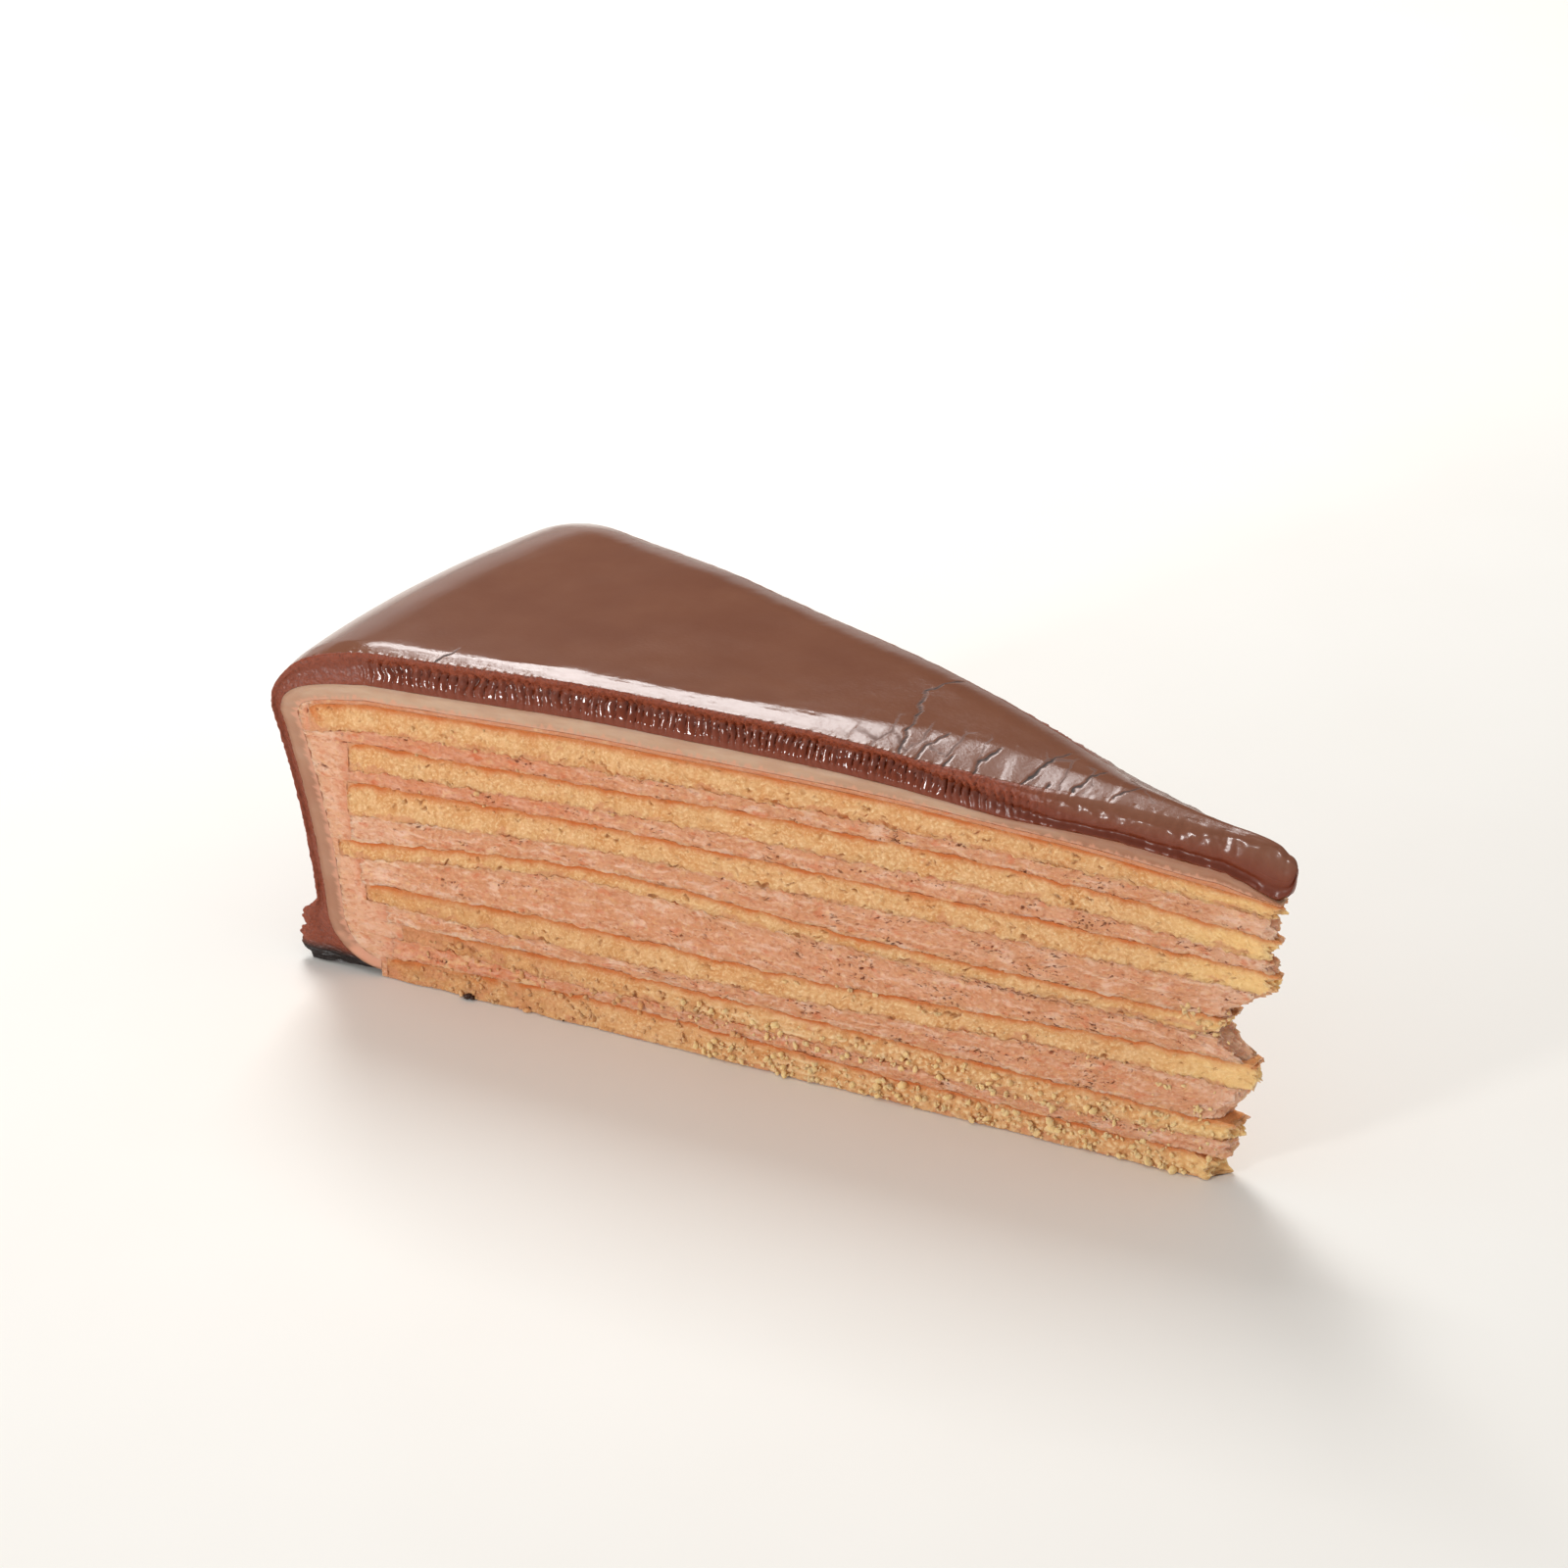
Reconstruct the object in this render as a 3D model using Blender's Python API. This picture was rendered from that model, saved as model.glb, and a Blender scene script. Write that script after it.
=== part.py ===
# One slice of a prince regent torte: seven thin sponge rounds with chocolate
# buttercream between them, a buttercream coat, a sheet of marzipan and a
# thick chocolate glaze that runs down the rim to a ragged foot.
# Lengths are in millimetres until a point is placed. The slice stands on z = 0,
# its tip points along +X and its glazed rim along -X.

import math
from collections import namedtuple

import bmesh
import bpy
from mathutils import Vector, noise

MM = 0.001
GAP = 0.3  # kept between pieces that touch

# The whole slice
SLICES_IN_CAKE = 16
HALF_ANGLE = math.pi / SLICES_IN_CAKE
RIM_FOOT_RADIUS = 128.6  # outside of the glaze just above its foot
RIM_LEAN = 5.3  # how much further out the rim stands at its widest
WIDEST_HEIGHT = 35.0
NOSE_RADIUS = 0.83  # how near the glaze comes to the axis of the cake
RIM_RADIUS = RIM_FOOT_RADIUS + RIM_LEAN
TIP_X = (RIM_RADIUS + NOSE_RADIUS) / 2  # puts the origin under the middle
BLUNTNESS = 0.6  # half the width that is left at the very tip

# Layers, from the base up. Thickness is given at five distances from the tip,
# tip is where the broken tip of the layer starts at its lower and upper edge,
# and rim is how far out the layer reaches.
STATIONS = (5.0, 30.0, 60.0, 90.0, 120.0)
Layer = namedtuple("Layer", "kind thickness tip rim")
LAYERS = (
    Layer("sponge", (3.6, 3.3, 3.6, 4.2, 2.8), (9.2, 10.0), 118.5),
    Layer("cream", (2.2, 1.6, 1.9, 1.4, 3.0), (8.0, 7.4), 117.5),
    Layer("sponge", (2.4, 3.3, 3.1, 3.2, 2.2), (7.8, 6.6), 116.0),
    Layer("cream", (5.1, 4.5, 2.3, 1.5, 2.5), (9.0, 5.9), 118.0),
    Layer("sponge", (3.3, 3.0, 3.2, 3.6, 2.5), (5.4, 4.7), 121.0),
    Layer("cream", (3.0, 3.6, 5.4, 6.3, 3.5), (5.8, 9.8), 121.5),
    Layer("sponge", (2.2, 2.0, 1.9, 2.0, 2.3), (10.0, 8.2), 124.5),
    Layer("cream", (4.2, 4.5, 3.9, 2.6, 3.7), (9.3, 4.3), 122.5),
    Layer("sponge", (2.9, 3.3, 3.4, 3.4, 4.3), (3.9, 2.6), 122.8),
    Layer("cream", (1.5, 2.4, 2.5, 2.0, 1.7), (3.2, 3.4), 122.5),
    Layer("sponge", (3.0, 3.2, 3.4, 3.2, 3.8), (4.2, 2.8), 122.4),
    Layer("cream", (2.5, 1.8, 2.0, 2.0, 1.7), (3.6, 3.6), 123.0),
    Layer("sponge", (1.9, 3.0, 3.4, 4.0, 3.7), (3.4, 2.6), 127.6),
)
DROOP_START = 120.0
DROOP = 0.0055  # share of its height that a layer loses in each mm beyond that
WAVE_HEIGHT = 0.3
WAVE_LENGTH = 17.0

# Columns along the slice, rows up a cut face, and cut-face relief
Finish = namedtuple("Finish", "columns rows relief_depth relief_size")
FINISH = {
    "sponge": Finish(38, 2, 0.75, 3.4),
    "cream": Finish(30, 2, 0.45, 5.0),
}
RELIEF_FADE = 25.0  # distance from the tip over which relief grows to full depth

# The three sheets over the top
SKIN = 0.55  # buttercream over the top sponge
MARZIPAN = (0.7, 0.9, 1.9, 2.1, 2.1)
GLAZE = (5.3, 4.5, 4.2, 4.2, 4.0)
SHEET_START = 9.5  # marzipan and skin stop this far from the tip
NOSE_UPPER = ((1.0, 41.6), (1.7, 43.2), (3.4, 44.2), (6.0, 44.5))  # radius, height
NOSE_UNDER = ((1.4, 40.2), (1.9, 38.9), (3.2, 38.2), (6.0, 38.6))
EDGE_DROP = 0.8  # the glaze bends down by this much at a cut
EDGE_BAND = 4.5  # over this width
SHOULDER_START = 122.0
SHOULDER_SLOPE = 0.15
SHOULDER_HEIGHT = 34.5
SHOULDER_REACH = 0.78
SHOULDER_RISE = 0.5

# The same sheets down the rim
GLAZE_WALL = 1.6
MARZIPAN_WALL = 2.4
HEEL_HEIGHT = 8.5  # where the rim starts to turn under
HEEL_RADIUS = 119.8  # where the turned-under sheets end
HEEL_CLEARANCE = 0.6  # from there to the coat
RIM_CLEARANCE = 0.5  # from the ends of the layers to the coat
GLAZE_HEEL_HEIGHT = 0.9  # top of the glaze there
MARZIPAN_HEEL_HEIGHT = 2.4
FOOT = ((129.2, 8.5), (130.8, 7.0), (132.4, 4.6), (131.9, 2.2), (130.2, 0.0))
FOOT_RAGGEDNESS = 1.1

ACROSS = (-1.0, 0.0, 1.0)  # places from the near cut to the far one
SHEET_ACROSS = (-1.0, -0.5, 0.0, 0.5, 1.0)
EDGE_BAND_LIMIT = 0.85  # and over no more than this share of the half width
EDGE_BAND_SHARES = (0.0, 0.3, 1.0)
EDGE_FADE = 8.0  # height over which the bend dies out on the shoulder
TOP_STEPS = 18
TURN_STEPS = 6  # along the shoulder, the rim and the heel
SHARP_ANGLE = math.radians(40)

Look = namedtuple("Look", "colour roughness")
LOOKS = {
    "sponge": Look((0.72, 0.48, 0.22), 0.9),
    "cream": Look((0.62, 0.32, 0.22), 0.6),
    "marzipan": Look((0.56, 0.38, 0.27), 0.55),
    "glaze": Look((0.13, 0.045, 0.022), 0.25),
}


def blend(a, b, share):
    return a + (b - a) * share


def curve_through(xs, values, x):
    """Value at x of a smooth curve through the given points, straight beyond its ends."""
    last = len(xs) - 1
    slopes = []
    for i in range(last + 1):
        before, after = max(i - 1, 0), min(i + 1, last)
        slopes.append((values[after] - values[before]) / (xs[after] - xs[before]))
    if x <= xs[0]:
        return values[0] + slopes[0] * (x - xs[0])
    if x >= xs[last]:
        return values[last] + slopes[last] * (x - xs[last])
    i = max(k for k in range(last) if xs[k] <= x)
    step = xs[i + 1] - xs[i]
    t = (x - xs[i]) / step
    rise = t * t * (3 - 2 * t)
    start_pull = t * (1 - t) ** 2 * step * slopes[i]
    end_pull = t * t * (t - 1) * step * slopes[i + 1]
    return blend(values[i], values[i + 1], rise) + start_pull + end_pull


def bezier(ends, handles, t):
    """Point of a cubic curve between two (radius, height) ends."""
    weights = ((1 - t) ** 3, 3 * t * (1 - t) ** 2, 3 * t * t * (1 - t), t**3)
    points = (ends[0], handles[0], handles[1], ends[1])
    return tuple(sum(w * p[axis] for w, p in zip(weights, points)) for axis in (0, 1))


def place(radius, across, height, out=0.0):
    """World point from its distance to the tip and its place across, pushed out of the cut face."""
    angle = across * HALF_ANGLE
    half_width = math.hypot(radius * math.sin(HALF_ANGLE), BLUNTNESS)
    side = math.copysign(1.0, across)
    x = TIP_X - radius * math.cos(angle) - out * math.sin(HALF_ANGLE)
    y = half_width * math.sin(angle) / math.sin(HALF_ANGLE) + side * out * math.cos(HALF_ANGLE)
    return Vector((x, y, height)) * MM


def place_on(section_point, across):
    """World point of a (radius, height) point of a section."""
    return place(section_point[0], across, section_point[1])


def wave(level, radius, across):
    """How far a boundary strays from its even height. It is linear from each cut to the middle."""

    def at(station):
        return noise.noise(Vector((radius / WAVE_LENGTH, station * 3.7, level * 5.3)))

    return WAVE_HEIGHT * blend(at(0.0), at(math.copysign(1.0, across)), abs(across))


def boundary(level, radius, across):
    """Height of the surface under layer number level. Level 0 is the flat base."""
    if level == 0:
        return 0.0
    inner = min(radius, DROOP_START)
    height = sum(curve_through(STATIONS, layer.thickness, inner) for layer in LAYERS[:level])
    droop = 1 - DROOP * max(radius - DROOP_START, 0.0)
    return height * droop + wave(level, radius, across)


def relief(kind, radius, height, side):
    """Depth of the crumb or the smears on a cut face."""
    finish = FINISH[kind]
    size = finish.relief_size
    coarse = noise.noise(Vector((radius / size, height / size, side * 40.0)))
    fine = noise.noise(Vector((radius / size * 2.3, height / size * 2.3, side * 90.0)))
    return finish.relief_depth * (coarse + 0.5 * fine) * min(radius / RELIEF_FADE, 1.0)


def loft(name, kind, rings):
    """A closed solid through rings of equal length, capped at both ends."""
    mesh = bpy.data.meshes.new(name)
    shape = bmesh.new()
    loops = [[shape.verts.new(point) for point in ring] for ring in rings]
    count = len(rings[0])
    for first, second in zip(loops, loops[1:]):
        for i in range(count):
            j = (i + 1) % count
            shape.faces.new((first[i], first[j], second[j], second[i]))
    shape.faces.new(list(reversed(loops[0])))
    shape.faces.new(loops[-1])
    bmesh.ops.triangulate(shape, faces=shape.faces[:])
    bmesh.ops.recalc_face_normals(shape, faces=shape.faces[:])
    shape.to_mesh(mesh)
    shape.free()
    mesh.shade_smooth()
    mesh.set_sharp_from_angle(angle=SHARP_ANGLE)
    mesh.materials.append(material(name, LOOKS[kind]))
    solid = bpy.data.objects.new(name, mesh)
    bpy.context.scene.collection.objects.link(solid)
    return solid


def material(name, look):
    made = bpy.data.materials.new(name)
    made.use_nodes = True
    surface = made.node_tree.nodes["Principled BSDF"]
    surface.inputs["Base Color"].default_value = (*look.colour, 1.0)
    surface.inputs["Roughness"].default_value = look.roughness
    surface.inputs["Metallic"].default_value = 0.0
    return made


def layer_ring(level, share):
    """Section of a layer at a share of the way from its broken tip to its rim."""
    layer = LAYERS[level]
    rows = FINISH[layer.kind].rows

    def radius_at(up):
        return blend(blend(*layer.tip, up), layer.rim, share)

    def height_at(radius, across, up):
        low = boundary(level, radius, across) + (GAP / 2 if level else 0.0)
        return blend(low, boundary(level + 1, radius, across) - GAP / 2, up)

    def face_point(side, up):
        radius = radius_at(up)
        height = height_at(radius, side, up)
        return place(radius, side, height, relief(layer.kind, radius, height, side))

    def inner_points(up):
        radius = radius_at(up)
        return [place(radius, v, height_at(radius, v, up)) for v in ACROSS[1:-1]]

    near = [face_point(-1, row / rows) for row in range(rows + 1)]
    far = [face_point(1, row / rows) for row in range(rows, -1, -1)]
    return near + inner_points(1.0) + far + inner_points(0.0)[::-1]


def make_layers():
    counts = {"sponge": 0, "cream": 0}
    for level, layer in enumerate(LAYERS):
        counts[layer.kind] += 1
        columns = FINISH[layer.kind].columns
        rings = [layer_ring(level, column / columns) for column in range(columns + 1)]
        loft(f"{layer.kind}_{counts[layer.kind]}", layer.kind, rings)


def top_height(sheet, radius, across):
    """Height of a sheet's upper surface. Sheet 0 is the buttercream, 1 the marzipan and 2 the glaze."""
    inner = min(radius, DROOP_START)
    height = boundary(len(LAYERS), radius, across) + SKIN
    if sheet > 0:
        height += curve_through(STATIONS, MARZIPAN, inner)
    if sheet > 1:
        height += curve_through(STATIONS, GLAZE, inner)
    return height


def rim_radius(sheet, height):
    """Distance from the tip of a sheet's outer surface on the rim."""
    outer = RIM_FOOT_RADIUS + RIM_LEAN * (height / WIDEST_HEIGHT) ** 2
    return outer - (GLAZE_WALL if sheet < 2 else 0.0) - (MARZIPAN_WALL if sheet < 1 else 0.0)


def shoulder_point(sheet, across, t):
    """Point of the rounded edge between top and rim."""
    top = (SHOULDER_START, top_height(sheet, SHOULDER_START, across))
    side = (rim_radius(sheet, SHOULDER_HEIGHT), SHOULDER_HEIGHT)
    reach = (side[0] - top[0]) * SHOULDER_REACH
    rise = (top[1] - side[1]) * SHOULDER_RISE
    handles = (
        (top[0] + reach, top[1] - reach * SHOULDER_SLOPE),
        (side[0], side[1] + rise),
    )
    return bezier((top, side), handles, t)


def heel_point(sheet, turn):
    """Point where a sheet turns under the slice, at a share of the quarter turn."""
    angle = turn * math.pi / 2
    width = rim_radius(sheet, HEEL_HEIGHT) - HEEL_RADIUS
    end_height = GLAZE_HEEL_HEIGHT if sheet == 1 else MARZIPAN_HEEL_HEIGHT
    return (
        HEEL_RADIUS + width * math.cos(angle),
        HEEL_HEIGHT - (HEEL_HEIGHT - end_height) * math.sin(angle),
    )


TOP_RADII = [blend(SHEET_START, SHOULDER_START, i / TOP_STEPS) for i in range(TOP_STEPS)]
SHOULDER_STEPS = [i / TURN_STEPS for i in range(TURN_STEPS + 1)]
HEEL_STEPS = SHOULDER_STEPS[1:]
WALL_HEIGHTS = [blend(SHOULDER_HEIGHT, HEEL_HEIGHT, step) for step in HEEL_STEPS]


def sheet_path(sheet, across):
    """Upper and outer surface of a sheet, from near the tip over the top and down the rim to its heel."""
    path = [(radius, top_height(sheet, radius, across)) for radius in TOP_RADII]
    path += [shoulder_point(sheet, across, t) for t in SHOULDER_STEPS]
    path += [(rim_radius(sheet, height), height) for height in WALL_HEIGHTS]
    path += [heel_point(sheet, turn) for turn in HEEL_STEPS]
    return path


def pull_in(path, distance):
    """The path moved inwards, square to itself."""
    moved = []
    for i, (radius, height) in enumerate(path):
        before, after = path[max(i - 1, 0)], path[min(i + 1, len(path) - 1)]
        along = Vector((after[0] - before[0], after[1] - before[1])).normalized()
        moved.append((radius + along.y * distance, height - along.x * distance))
    return moved


def sheet_rings(upper_paths, lower_paths):
    """Rings of a sheet from the paths of its two surfaces, one path for each place across."""
    rings = []
    for i in range(len(upper_paths[0])):
        upper = [place_on(path[i], v) for v, path in zip(SHEET_ACROSS, upper_paths)]
        lower = [place_on(path[i], v) for v, path in zip(SHEET_ACROSS, lower_paths)]
        rings.append(upper + lower[::-1])
    return rings


def make_marzipan():
    upper = [pull_in(sheet_path(1, v), GAP / 2) for v in SHEET_ACROSS]
    lower = [pull_in(sheet_path(0, v), -GAP / 2) for v in SHEET_ACROSS]
    loft("marzipan", "marzipan", sheet_rings(upper, lower))


def coat_pairs(across):
    """Outer and inner points of the coat's section, from near the tip to the base."""
    over = [(radius, top_height(0, radius, across) - GAP / 2) for radius in TOP_RADII]
    under = [(radius, boundary(len(LAYERS), radius, across) + GAP / 2) for radius in TOP_RADII]
    corner = LAYERS[-1].rim + RIM_CLEARANCE
    shoulder = pull_in([shoulder_point(0, across, t) for t in SHOULDER_STEPS], GAP / 2)
    for point in shoulder:
        share = (point[0] - shoulder[0][0]) / (shoulder[-1][0] - shoulder[0][0])
        radius = blend(SHOULDER_START, corner, share)
        over.append(point)
        under.append((radius, boundary(len(LAYERS), radius, across) + GAP / 2))
    # Down the rim, the inner side steps in and out along the ends of the layers.
    for level in range(len(LAYERS) - 1, -1, -1):
        this_end = LAYERS[level].rim + RIM_CLEARANCE
        if level == 0:
            steps = [(this_end, MARZIPAN_HEEL_HEIGHT + GAP / 2), (this_end, 0.0)]
        else:
            next_end = LAYERS[level - 1].rim + RIM_CLEARANCE
            lean = math.copysign(GAP / 2, this_end - next_end)
            steps = [
                (end, boundary(level, end, across) - lean) for end in (this_end, next_end)
            ]
        for radius, height in steps:
            over.append(outer_coat_point(min(height, over[-1][1] - GAP)))
            under.append((radius, height))
    return over, under


def outer_coat_point(height):
    """Point of the coat's outer side, at a height on the rim or on the heel."""
    if height >= HEEL_HEIGHT:
        return (rim_radius(0, height) - GAP / 2, height)
    end = HEEL_RADIUS - HEEL_CLEARANCE
    width = rim_radius(0, HEEL_HEIGHT) - GAP / 2 - end
    depth = HEEL_HEIGHT - MARZIPAN_HEEL_HEIGHT - GAP / 2
    share = min((HEEL_HEIGHT - height) / depth, 1.0)
    return (end + width * math.sqrt(1 - share * share), max(height, 0.0))


def make_coat():
    pairs = [coat_pairs(v) for v in SHEET_ACROSS]
    loft("cream_coat", "cream", sheet_rings([p[0] for p in pairs], [p[1] for p in pairs]))


def foot_points(across):
    """Outer surface of the glaze's foot and its flat underside, one point for each heel step."""
    swell = 1 + FOOT_RAGGEDNESS * noise.noise(Vector((across * 4.1, 7.7, 1.3)))
    inner_radius = FOOT[0][0]
    bulge = [(blend(inner_radius, radius, swell), height) for radius, height in FOOT[1:]]
    under = len(HEEL_STEPS) - len(bulge)
    start = bulge[-1][0]
    flat = [(blend(start, HEEL_RADIUS, (i + 1) / under), 0.0) for i in range(under)]
    return bulge + flat


def glaze_across(radius):
    """Places across the glaze with the lowering of its surface at each, close together at the cuts."""
    half_width = math.hypot(radius * math.sin(HALF_ANGLE), BLUNTNESS)
    band = min(EDGE_BAND / half_width, EDGE_BAND_LIMIT)
    places = [(-1 + band * share, (1 - share) ** 2) for share in EDGE_BAND_SHARES]
    places.append((places[-1][0] / 2, 0.0))
    return places + [(0.0, 0.0)] + [(-v, drop) for v, drop in reversed(places)]


def glaze_upper(across):
    """Outer surface of the glaze: nose, top, shoulder, rim, foot and underside."""
    return list(NOSE_UPPER) + sheet_path(2, across)[: -len(HEEL_STEPS)] + foot_points(across)


def glaze_under(across):
    return list(NOSE_UNDER) + pull_in(sheet_path(1, across), -GAP / 2)


def make_glaze():
    under_paths = [glaze_under(v) for v in SHEET_ACROSS]
    rings = []
    for station, (middle_radius, _) in enumerate(glaze_upper(0.0)):
        upper = []
        for across, drop in glaze_across(middle_radius):
            radius, height = glaze_upper(across)[station]
            on_top = min(max((height - WIDEST_HEIGHT) / EDGE_FADE, 0.0), 1.0)
            upper.append(place(radius, across, height + EDGE_DROP * (1 - drop) * on_top))
        under = [place_on(path[station], v) for v, path in zip(SHEET_ACROSS, under_paths)]
        rings.append(upper + under[::-1])
    loft("glaze", "glaze", rings)


def clear_scene():
    for old in list(bpy.data.objects):
        bpy.data.objects.remove(old)


clear_scene()
make_layers()
make_coat()
make_marzipan()
make_glaze()
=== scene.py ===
import math

import bmesh
import bpy
import numpy as np
from mathutils import Matrix, Vector, noise


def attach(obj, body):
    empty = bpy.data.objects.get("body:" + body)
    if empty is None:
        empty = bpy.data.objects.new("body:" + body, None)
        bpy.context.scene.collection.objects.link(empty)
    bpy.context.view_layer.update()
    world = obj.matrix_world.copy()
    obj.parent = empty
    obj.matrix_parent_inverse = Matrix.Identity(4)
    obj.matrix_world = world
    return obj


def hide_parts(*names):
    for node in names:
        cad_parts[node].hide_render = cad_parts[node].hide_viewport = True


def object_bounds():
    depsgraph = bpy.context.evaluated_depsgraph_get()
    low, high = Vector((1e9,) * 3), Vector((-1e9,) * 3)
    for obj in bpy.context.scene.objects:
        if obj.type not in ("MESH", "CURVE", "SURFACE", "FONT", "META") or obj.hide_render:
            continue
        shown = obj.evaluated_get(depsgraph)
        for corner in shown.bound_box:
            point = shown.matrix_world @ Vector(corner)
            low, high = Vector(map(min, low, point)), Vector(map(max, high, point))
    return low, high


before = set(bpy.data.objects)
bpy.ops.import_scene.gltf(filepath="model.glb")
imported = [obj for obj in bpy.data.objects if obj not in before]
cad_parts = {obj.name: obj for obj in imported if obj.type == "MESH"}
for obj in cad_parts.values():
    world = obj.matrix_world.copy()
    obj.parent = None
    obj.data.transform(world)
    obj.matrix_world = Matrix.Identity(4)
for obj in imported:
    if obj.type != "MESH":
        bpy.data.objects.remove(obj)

# A cut slice of layered torte, in millimetres. It stands on z = 0, its tip points
# along +X, its glazed rim along -X, and the cut face that the camera sees is at -Y.
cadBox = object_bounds()
mm = 0.001

wedge = {
    "halfAngle": math.pi / 16,
    "tipX": 67.365,
    "bluntness": 0.6,  # half the width left at the very tip
    "stations": (5.0, 30.0, 60.0, 90.0, 120.0),  # distances from the tip
    "droopStart": 120.0,
    "droop": 0.0055,
    "waveHeight": 0.3,
    "waveLength": 17.0,
    "cutLength": 130.0,  # X on the cut face runs from the rim, 0, to the tip, 130
}

# Kind, thickness at the stations, where the broken tip starts (lower, upper edge), rim
layers = (
    ("sponge", (3.6, 3.3, 3.6, 4.2, 2.8), (9.2, 10.0), 118.5),
    ("cream", (2.2, 1.6, 1.9, 1.4, 3.0), (8.0, 7.4), 117.5),
    ("sponge", (2.4, 3.3, 3.1, 3.2, 2.2), (7.8, 6.6), 116.0),
    ("cream", (5.1, 4.5, 2.3, 1.5, 2.5), (9.0, 5.9), 118.0),
    ("sponge", (3.3, 3.0, 3.2, 3.6, 2.5), (5.4, 4.7), 121.0),
    ("cream", (3.0, 3.6, 5.4, 6.3, 3.5), (5.8, 9.8), 121.5),
    ("sponge", (2.2, 2.0, 1.9, 2.0, 2.3), (10.0, 8.2), 124.5),
    ("cream", (4.2, 4.5, 3.9, 2.6, 3.7), (9.3, 4.3), 122.5),
    ("sponge", (2.9, 3.3, 3.4, 3.4, 4.3), (3.9, 2.6), 122.8),
    ("cream", (1.5, 2.4, 2.5, 2.0, 1.7), (3.2, 3.4), 122.5),
    ("sponge", (3.0, 3.2, 3.4, 3.2, 3.8), (4.2, 2.8), 122.4),
    ("cream", (2.5, 1.8, 2.0, 2.0, 1.7), (3.6, 3.6), 123.0),
    ("sponge", (1.9, 3.0, 3.4, 4.0, 3.7), (3.4, 2.6), 127.6),
)


def blend(a, b, share):
    return a + (b - a) * share


def ease(low, high, x):
    t = np.clip((x - low) / (high - low), 0.0, 1.0)
    return t * t * (3 - 2 * t)


def lookUp(pairs, x):
    return np.interp(x, *np.array(pairs).T)


# Smooth curve through the given points, straight beyond its ends
def curveThrough(xs, values, x):
    xs, values, x = (np.asarray(a, float) for a in (xs, values, x))
    slopes = np.empty_like(values)
    slopes[1:-1] = (values[2:] - values[:-2]) / (xs[2:] - xs[:-2])
    slopes[0] = (values[1] - values[0]) / (xs[1] - xs[0])
    slopes[-1] = (values[-1] - values[-2]) / (xs[-1] - xs[-2])
    i = np.clip(np.searchsorted(xs, x, side="right") - 1, 0, len(xs) - 2)
    step = xs[i + 1] - xs[i]
    t = (x - xs[i]) / step
    inside = blend(values[i], values[i + 1], t * t * (3 - 2 * t))
    inside += t * (1 - t) ** 2 * step * slopes[i] + t * t * (t - 1) * step * slopes[i + 1]
    before = values[0] + slopes[0] * (x - xs[0])
    after = values[-1] + slopes[-1] * (x - xs[-1])
    return np.where(x < xs[0], before, np.where(x > xs[-1], after, inside))


# Random numbers from whole-number keys, the same on every run
def chance(*keys):
    mixed = np.zeros(np.broadcast(*keys).shape, np.uint64)
    for key in keys:
        mixed = mixed ^ np.asarray(key, float).astype(np.int64).astype(np.uint64)
        for factor, shift in ((0x9E3779B97F4A7C15, 29), (0xBF58476D1CE4E5B9, 32)):
            mixed = mixed * np.uint64(factor)
            mixed ^= mixed >> np.uint64(shift)
    return (mixed >> np.uint64(11)).astype(float) / 2.0**53


# Smooth noise in the plane, about -1 to 1
def ripple(x, y, seed):
    x, y = np.broadcast_arrays(np.asarray(x, float), np.asarray(y, float))
    x0, y0 = np.floor(x), np.floor(y)
    fx, fy = x - x0, y - y0
    u, v = (f**3 * (f * (f * 6 - 15) + 10) for f in (fx, fy))

    def corner(dx, dy):
        angle = chance(x0 + dx, y0 + dy, seed) * 2 * math.pi
        return np.cos(angle) * (fx - dx) + np.sin(angle) * (fy - dy)

    low, high = (blend(corner(0, dy), corner(1, dy), u) for dy in (0, 1))
    return 1.5 * blend(low, high, v)


def fractal(x, y, seed, octaves=3):
    total, size = 0.0, 1.0
    for octave in range(octaves):
        total = total + size * ripple(x / size, y / size, seed + 101 * octave)
        size *= 0.5
    return total


# Distance to the nearest and the next of scattered points, the nearest's random number and its offset
def cells(x, y, seed):
    x, y = np.broadcast_arrays(np.asarray(x, float), np.asarray(y, float))
    nearest, second = np.full((2, *x.shape), 9.0)
    luck, offX, offY = np.zeros((3, *x.shape))
    for dx, dy in np.ndindex(3, 3):
        cx, cy = np.floor(x) + dx - 1, np.floor(y) + dy - 1
        toX = x - (cx + 0.1 + 0.8 * chance(cx, cy, seed))
        toY = y - (cy + 0.1 + 0.8 * chance(cx, cy, seed + 1))
        away = np.hypot(toX, toY)
        closer = away < nearest
        second = np.where(closer, nearest, np.minimum(second, away))
        luck = np.where(closer, chance(cx, cy, seed + 2), luck)
        offX, offY = np.where(closer, toX, offX), np.where(closer, toY, offY)
        nearest = np.where(closer, away, nearest)
    return nearest, second, luck, (offX, offY)


waveRadii = np.arange(0.0, 137.0, 0.5)


def waveRow(level, side):
    length = wedge["waveLength"]
    return [noise.noise(Vector((r / length, side * 3.7, level * 5.3))) for r in waveRadii]


waveRows = [{side: waveRow(level, side) for side in (-1, 0, 1)} for level in range(len(layers) + 1)]


# Height of the surface under layer number level, with its broad waves
def boundary(level, r, across):
    r, across = np.broadcast_arrays(np.asarray(r, float), np.asarray(across, float))
    if level == 0:
        return np.zeros(r.shape)
    thickness = np.sum([layer[1] for layer in layers[:level]], axis=0)
    height = curveThrough(wedge["stations"], thickness, np.minimum(r, wedge["droopStart"]))
    droop = 1 - wedge["droop"] * np.maximum(r - wedge["droopStart"], 0.0)
    near, middle, far = (np.interp(r, waveRadii, waveRows[level][side]) for side in (-1, 0, 1))
    wave = blend(middle, np.where(across < 0, near, far), np.abs(across))
    return height * droop + wedge["waveHeight"] * wave


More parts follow.
